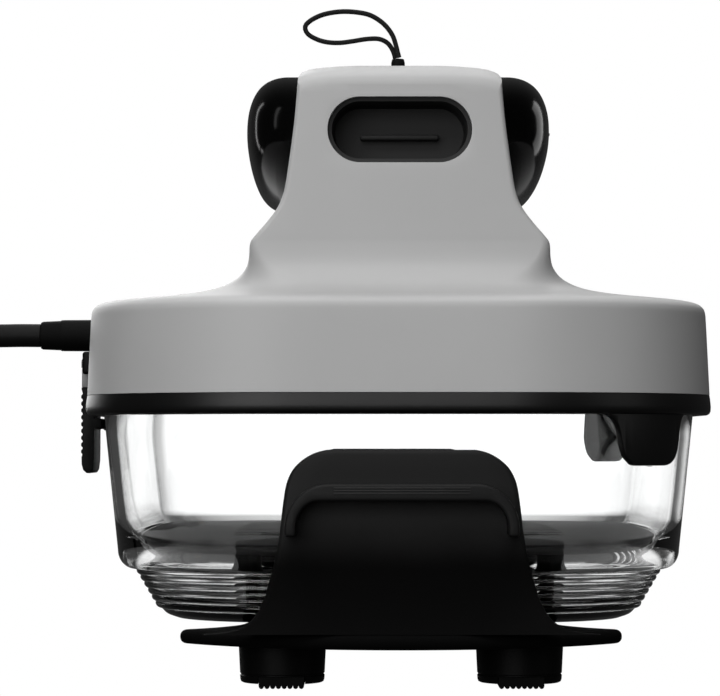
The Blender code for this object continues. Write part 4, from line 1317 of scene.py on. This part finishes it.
def make_tread(name, x, y):
    half_x, half_y = (tread_high.x - tread_low.x) / 2, (tread_high.y - tread_low.y) / 2
    pitch = 2 * half_x / TREAD_TEETH
    outline = []
    for tooth in range(TREAD_TEETH):
        for step in range(7):
            turn = radians(180.0 - 180.0 * step / 6)
            x_here = -half_x + pitch * (tooth + 0.5 + 0.48 * cos(turn))
            outline.append((x_here, 1.1 * MM * (1 - sin(turn))))
    outline += [(half_x, tread_high.z), (-half_x, tread_high.z)]
    points = facing_end(outline, y - half_y, x=x)
    return settle(prism(name, points, (0.0, 2 * half_y, 0.0)), 50.0)


CORNERS = [f"{end}_{side}" for end in ("front", "back") for side in ("left", "right")]
for corner in CORNERS:
    x, y, _ = middle_of(f"foot_{corner}")
    foot = make_foot(f"drum_foot_{corner}", x, y)
    place_piece(foot, MATT_BLACK, "base", "black_plastic", f"foot_{corner}")
    tread = make_tread(f"ridged_tread_{corner}", x, y)
    place_piece(tread, RUBBER, "base", "black_rubber", f"tread_{corner}")


# %% [markdown]
# ## The latch
# The lever hangs on a pin beside the rim. Its outer face is ribbed for the thumb, its lower end is
# stepped and round, and an arm reaches in under the rim to press a pad against the glass. Its
# outline is drawn from the side and extruded across.

# %% Latch lever
PIN = middle_of("latch_pin")
lever_low, lever_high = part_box("latch_lever")
lever_half = (lever_high.y - lever_low.y) / 2


def lever_outline():
    top = [(2.7 * cos(radians(t)), 2.7 * sin(radians(t))) for t in range(0, 181, 15)]
    outer = [(-2.6, -10.8)]
    for tooth in range(9):
        z = -12.6 - 2.7 * tooth
        outer += [(-2.1, z), (-2.75, z - 0.5), (-2.8, z - 1.6), (-2.2, z - 2.1)]
    foot = [
        (-2.6, -37.5), (-2.5, -40.4), (-1.9, -42.6), (-0.6, -43.8), (1.0, -43.9), (1.9, -42.4),
        (2.3, -39.0)]
    arm = [(2.4, -34.5), (2.4, -26.3), (5.3, -26.3), (5.3, -22.3), (2.4, -22.3), (2.6, -20.0)]
    return top + outer + foot + arm


lever = prism(
    "latch_lever_moulding",
    facing_end(in_mm(lever_outline()), -lever_half, PIN.z, PIN.x),
    (0.0, 2 * lever_half, 0.0), 0.35 * MM, 2, 40.0)
carve(lever, grow("bore", [facing_end(disc(1.6 * MM, 24), y, PIN.z, PIN.x) for y in (-0.03, 0.03)]))

# %% [markdown]
# ### The release button
# The button is a grey saddle across the lever's whole width, so it shows from the end too. Its seat
# is cut from the lever with a hair of play, and leaves a tongue between the button's two cheeks. The
# button can be pressed until it meets the tongue.

# %% Button, pad and ears
button_low, button_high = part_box("latch_button")
slack = 0.02 * MM
cheek = 0.8 * MM
seat = block(
    "seat", (button_low.x - 10.0 * MM, -lever_half - 1.0 * MM, button_low.z - slack),
    (PIN.x + 1.85 * MM, lever_half + 1.0 * MM, button_high.z + slack))
tongue = block(
    "tongue", (PIN.x + 0.35 * MM, -lever_half + 1.0 * MM, button_low.z - 3.0 * MM),
    (PIN.x + 5.0 * MM, lever_half - 1.0 * MM, button_high.z + 3.0 * MM))
settle(carve(lever, carve(seat, tongue)), 35.0)
place_piece(lever, MATT_BLACK, "latch", "black_plastic", "latch_lever")

button = block(
    "latch_button_cap", (PIN.x - 2.5 * MM, -lever_half, button_low.z),
    (PIN.x + 0.3 * MM, lever_half, button_high.z), 0.35 * MM, 3)
carve(button, block(
    "hollow", (PIN.x - 1.2 * MM, -lever_half + cheek, button_low.z - 3.0 * MM),
    (PIN.x + 5.0 * MM, lever_half - cheek, button_high.z + 3.0 * MM)))
settle(button, 40.0)
place_piece(button, BUTTON_GREY, "latch_release", "head_grey", "latch_button")

pad_low, pad_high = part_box("latch_pad")
pad = settle(block("latch_glass_pad", pad_low, pad_high, 0.9 * MM, 4), 40.0)
place_piece(pad, RUBBER, "latch", "black_rubber", "latch_pad")

for side in ("front", "back"):
    low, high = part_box(f"latch_ear_{side}")
    ear = settle(block(f"latch_pivot_ear_{side}", low, high, 1.2 * MM, 4), 40.0)
    place_piece(ear, MATT_BLACK, "head", "black_plastic", f"latch_ear_{side}")


# %% [markdown]
# ## The crisper's feet
# Four soft feet hold the plate off the glass. They are turned, with a rounded toe.

# %% Crisper feet
TOE_ROWS = (
    # radius, share of the height
    (6.0, 1.0), (6.0, 0.92), (5.4, 0.7), (4.4, 0.3), (4.0, 0.1), (3.5, 0.02), (2.6, 0.0))
for corner in CORNERS:
    node = f"crisper_foot_{corner}"
    low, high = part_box(node)
    x, y, _ = middle_of(node)
    rings = [
        lying(disc(radius * MM, 40), low.z + share * (high.z - low.z), x, y)
        for radius, share in TOE_ROWS]
    toe = settle(grow(f"crisper_toe_{corner}", rings), 40.0)
    place_piece(toe, RUBBER, "crisper", "black_rubber", node)


# %% [markdown]
# ## The studio
# The floor and the surround glow white to the camera, but light nothing, so the blacks stay deep
# and there is no horizon. The floor has no colour of its own, only its glow.

# %% Floor
rest()
bpy.ops.mesh.primitive_circle_add(
    vertices=96, radius=6.0, fill_type="NGON", location=(0.0, 0.0, -0.2 * MM))
floor = bpy.context.object
floor.name = "studio_floor"
floor_paint = Paint("glowing_floor", Roughness=1.0, Specular_IOR_Level=0.0, Emission_Strength=1.0)
floor_paint.shader.inputs["Base Color"].default_value = (0.0, 0.0, 0.0, 1.0)
floor_paint.shader.inputs["Emission Color"].default_value = (1.0, 1.0, 1.0, 1.0)
paint_with(floor, floor_paint.material)
floor.visible_diffuse = floor.visible_glossy = floor.visible_transmission = False
floor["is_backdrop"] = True

# %% [markdown]
# ### What the glass sees
# Clear glass is drawn by what stands behind it. To rays that have passed through glass, the world is
# a white card behind the machine with dark flags beside and below it, and these draw the dark lines
# that make clear glass readable. Far to the sides and behind the camera it is white again, so the
# bowl stays clear from other sides too. All other rays see almost nothing.

# %% Surround
CARD_GLOW, FLAG_GLOW, AROUND_GLOW, OTHER_GLOW = 1.18, 0.06, 0.95, 0.05
world = bpy.data.worlds.new("white_surround")
bpy.context.scene.world = world
world.use_nodes = True
surround = Nodes(world.node_tree)
ground = surround.tree.nodes["Background"]
ground.inputs["Color"].default_value = (1.0, 1.0, 1.0, 1.0)
way = surround.node(
    "ShaderNodeSeparateXYZ", None, {"Vector": surround.wire("ShaderNodeTexCoord", output="Generated")})
way_x, way_y, way_z = (Wire(surround, way.outputs[axis]) for axis in "XYZ")
card = surround.fade(way_x, 0.30, 0.55, 1.0, 2 * FLAG_GLOW)
card = card * surround.fade(way_x, -0.24, -0.13, FLAG_GLOW, CARD_GLOW)
card = card * surround.fade(way_z, -0.22, -0.10, FLAG_GLOW, 1.0)
beyond = surround.fade(abs(way_x), 0.58, 0.70, 0.0, AROUND_GLOW)
behind = surround.fade(way_y, -0.30, 0.10, AROUND_GLOW, 0.0)
rays = surround.node("ShaderNodeLightPath").outputs
through = card.or_more(beyond.or_more(behind)) * Wire(surround, rays["Is Transmission Ray"])
seen = through.or_more(Wire(surround, rays["Is Camera Ray"]))
surround.feed(ground.inputs["Strength"], seen.or_more(OTHER_GLOW))
print("surround nodes:", len(surround.tree.nodes))


# %% [markdown]
# ## Soft boxes
# The key is a large soft box in front on the left, with a smaller one above the camera for the band
# and one overhead for the slab's top. Weak fills on the right and behind open the shadows, and a
# long one behind draws the bright line along the upper edges. A polished part mirrors every lamp, so
# the two pods get lamps of their own: the strips and the glow light only the pods, and the others
# leave the pods out. The two lamps behind also leave out the glass.

# %% Soft boxes
def group_of(name, *members):
    group = bpy.data.collections.new(name)
    for member in members:
        group.objects.link(member)
    return group


only_pods = group_of("polished_parts", control, rear)
all_but_pods = group_of("all_but_pods", control, rear)
all_but_clear = group_of("all_but_clear", control, rear, bowl)
for group in (all_but_pods, all_but_clear):
    for member in group.collection_objects:
        member.light_linking.link_state = "EXCLUDE"
SOFT_BOXES = (
    # name, place, the point it faces, width, height, watts, what it lights
    ("key", (-0.8, -2.25, 0.5), (0.0, 0.0, 0.14), 2.0, 1.3, 29.5, all_but_pods),
    ("front_top", (-0.25, -0.8, 1.0), (0.0, -0.1, 0.18), 1.0, 0.6, 8.4, all_but_pods),
    ("overhead", (0.0, 0.1, 1.5), (0.0, 0.0, 0.2), 1.3, 1.3, 14.0, all_but_pods),
    ("right_fill", (1.7, -0.9, 0.5), (0.0, 0.0, 0.16), 0.8, 1.2, 2.2, all_but_pods),
    ("back_fill", (-0.9, 2.2, 0.7), (0.0, 0.0, 0.14), 1.6, 1.2, 22.0, all_but_clear),
    ("back_edge", (0.0, 1.5, 1.25), (0.0, 0.0, 0.15), 1.8, 0.5, 6.0, all_but_clear),
    ("right_strip", (0.9, 0.35, 0.25), (0.0, 0.0, 0.18), 0.7, 1.5, 9.0, only_pods),
    ("left_strip", (-0.9, 0.55, 0.25), (0.0, 0.0, 0.18), 0.14, 1.6, 2.6, only_pods),
    ("pod_glow", (-0.55, -1.0, 0.8), (0.0, 0.0, 0.2), 0.16, 1.5, 2.0, only_pods))


def soft_box(name, place, aim, width, height, power, lit):
    data = bpy.data.lights.new(name, "AREA")
    data.shape = "RECTANGLE"
    data.size, data.size_y, data.energy = width, height, power
    lamp = bpy.data.objects.new(name, data)
    lamp.location = place
    lamp.rotation_euler = (Vector(aim) - Vector(place)).to_track_quat("-Z", "Y").to_euler()
    lamp.light_linking.receiver_collection = lit
    bpy.context.scene.collection.objects.link(lamp)


for row in SOFT_BOXES:
    soft_box(*row)
print("soft boxes:", len(SOFT_BOXES))


# %% [markdown]
# ## The size
# The box round every drawn piece, apart from the floor, is printed. The looks may not grow past
# the imported model.

# %% Size
rest()
low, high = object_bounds()
print("model box:", [round(v, 4) for v in low], [round(v, 4) for v in high])
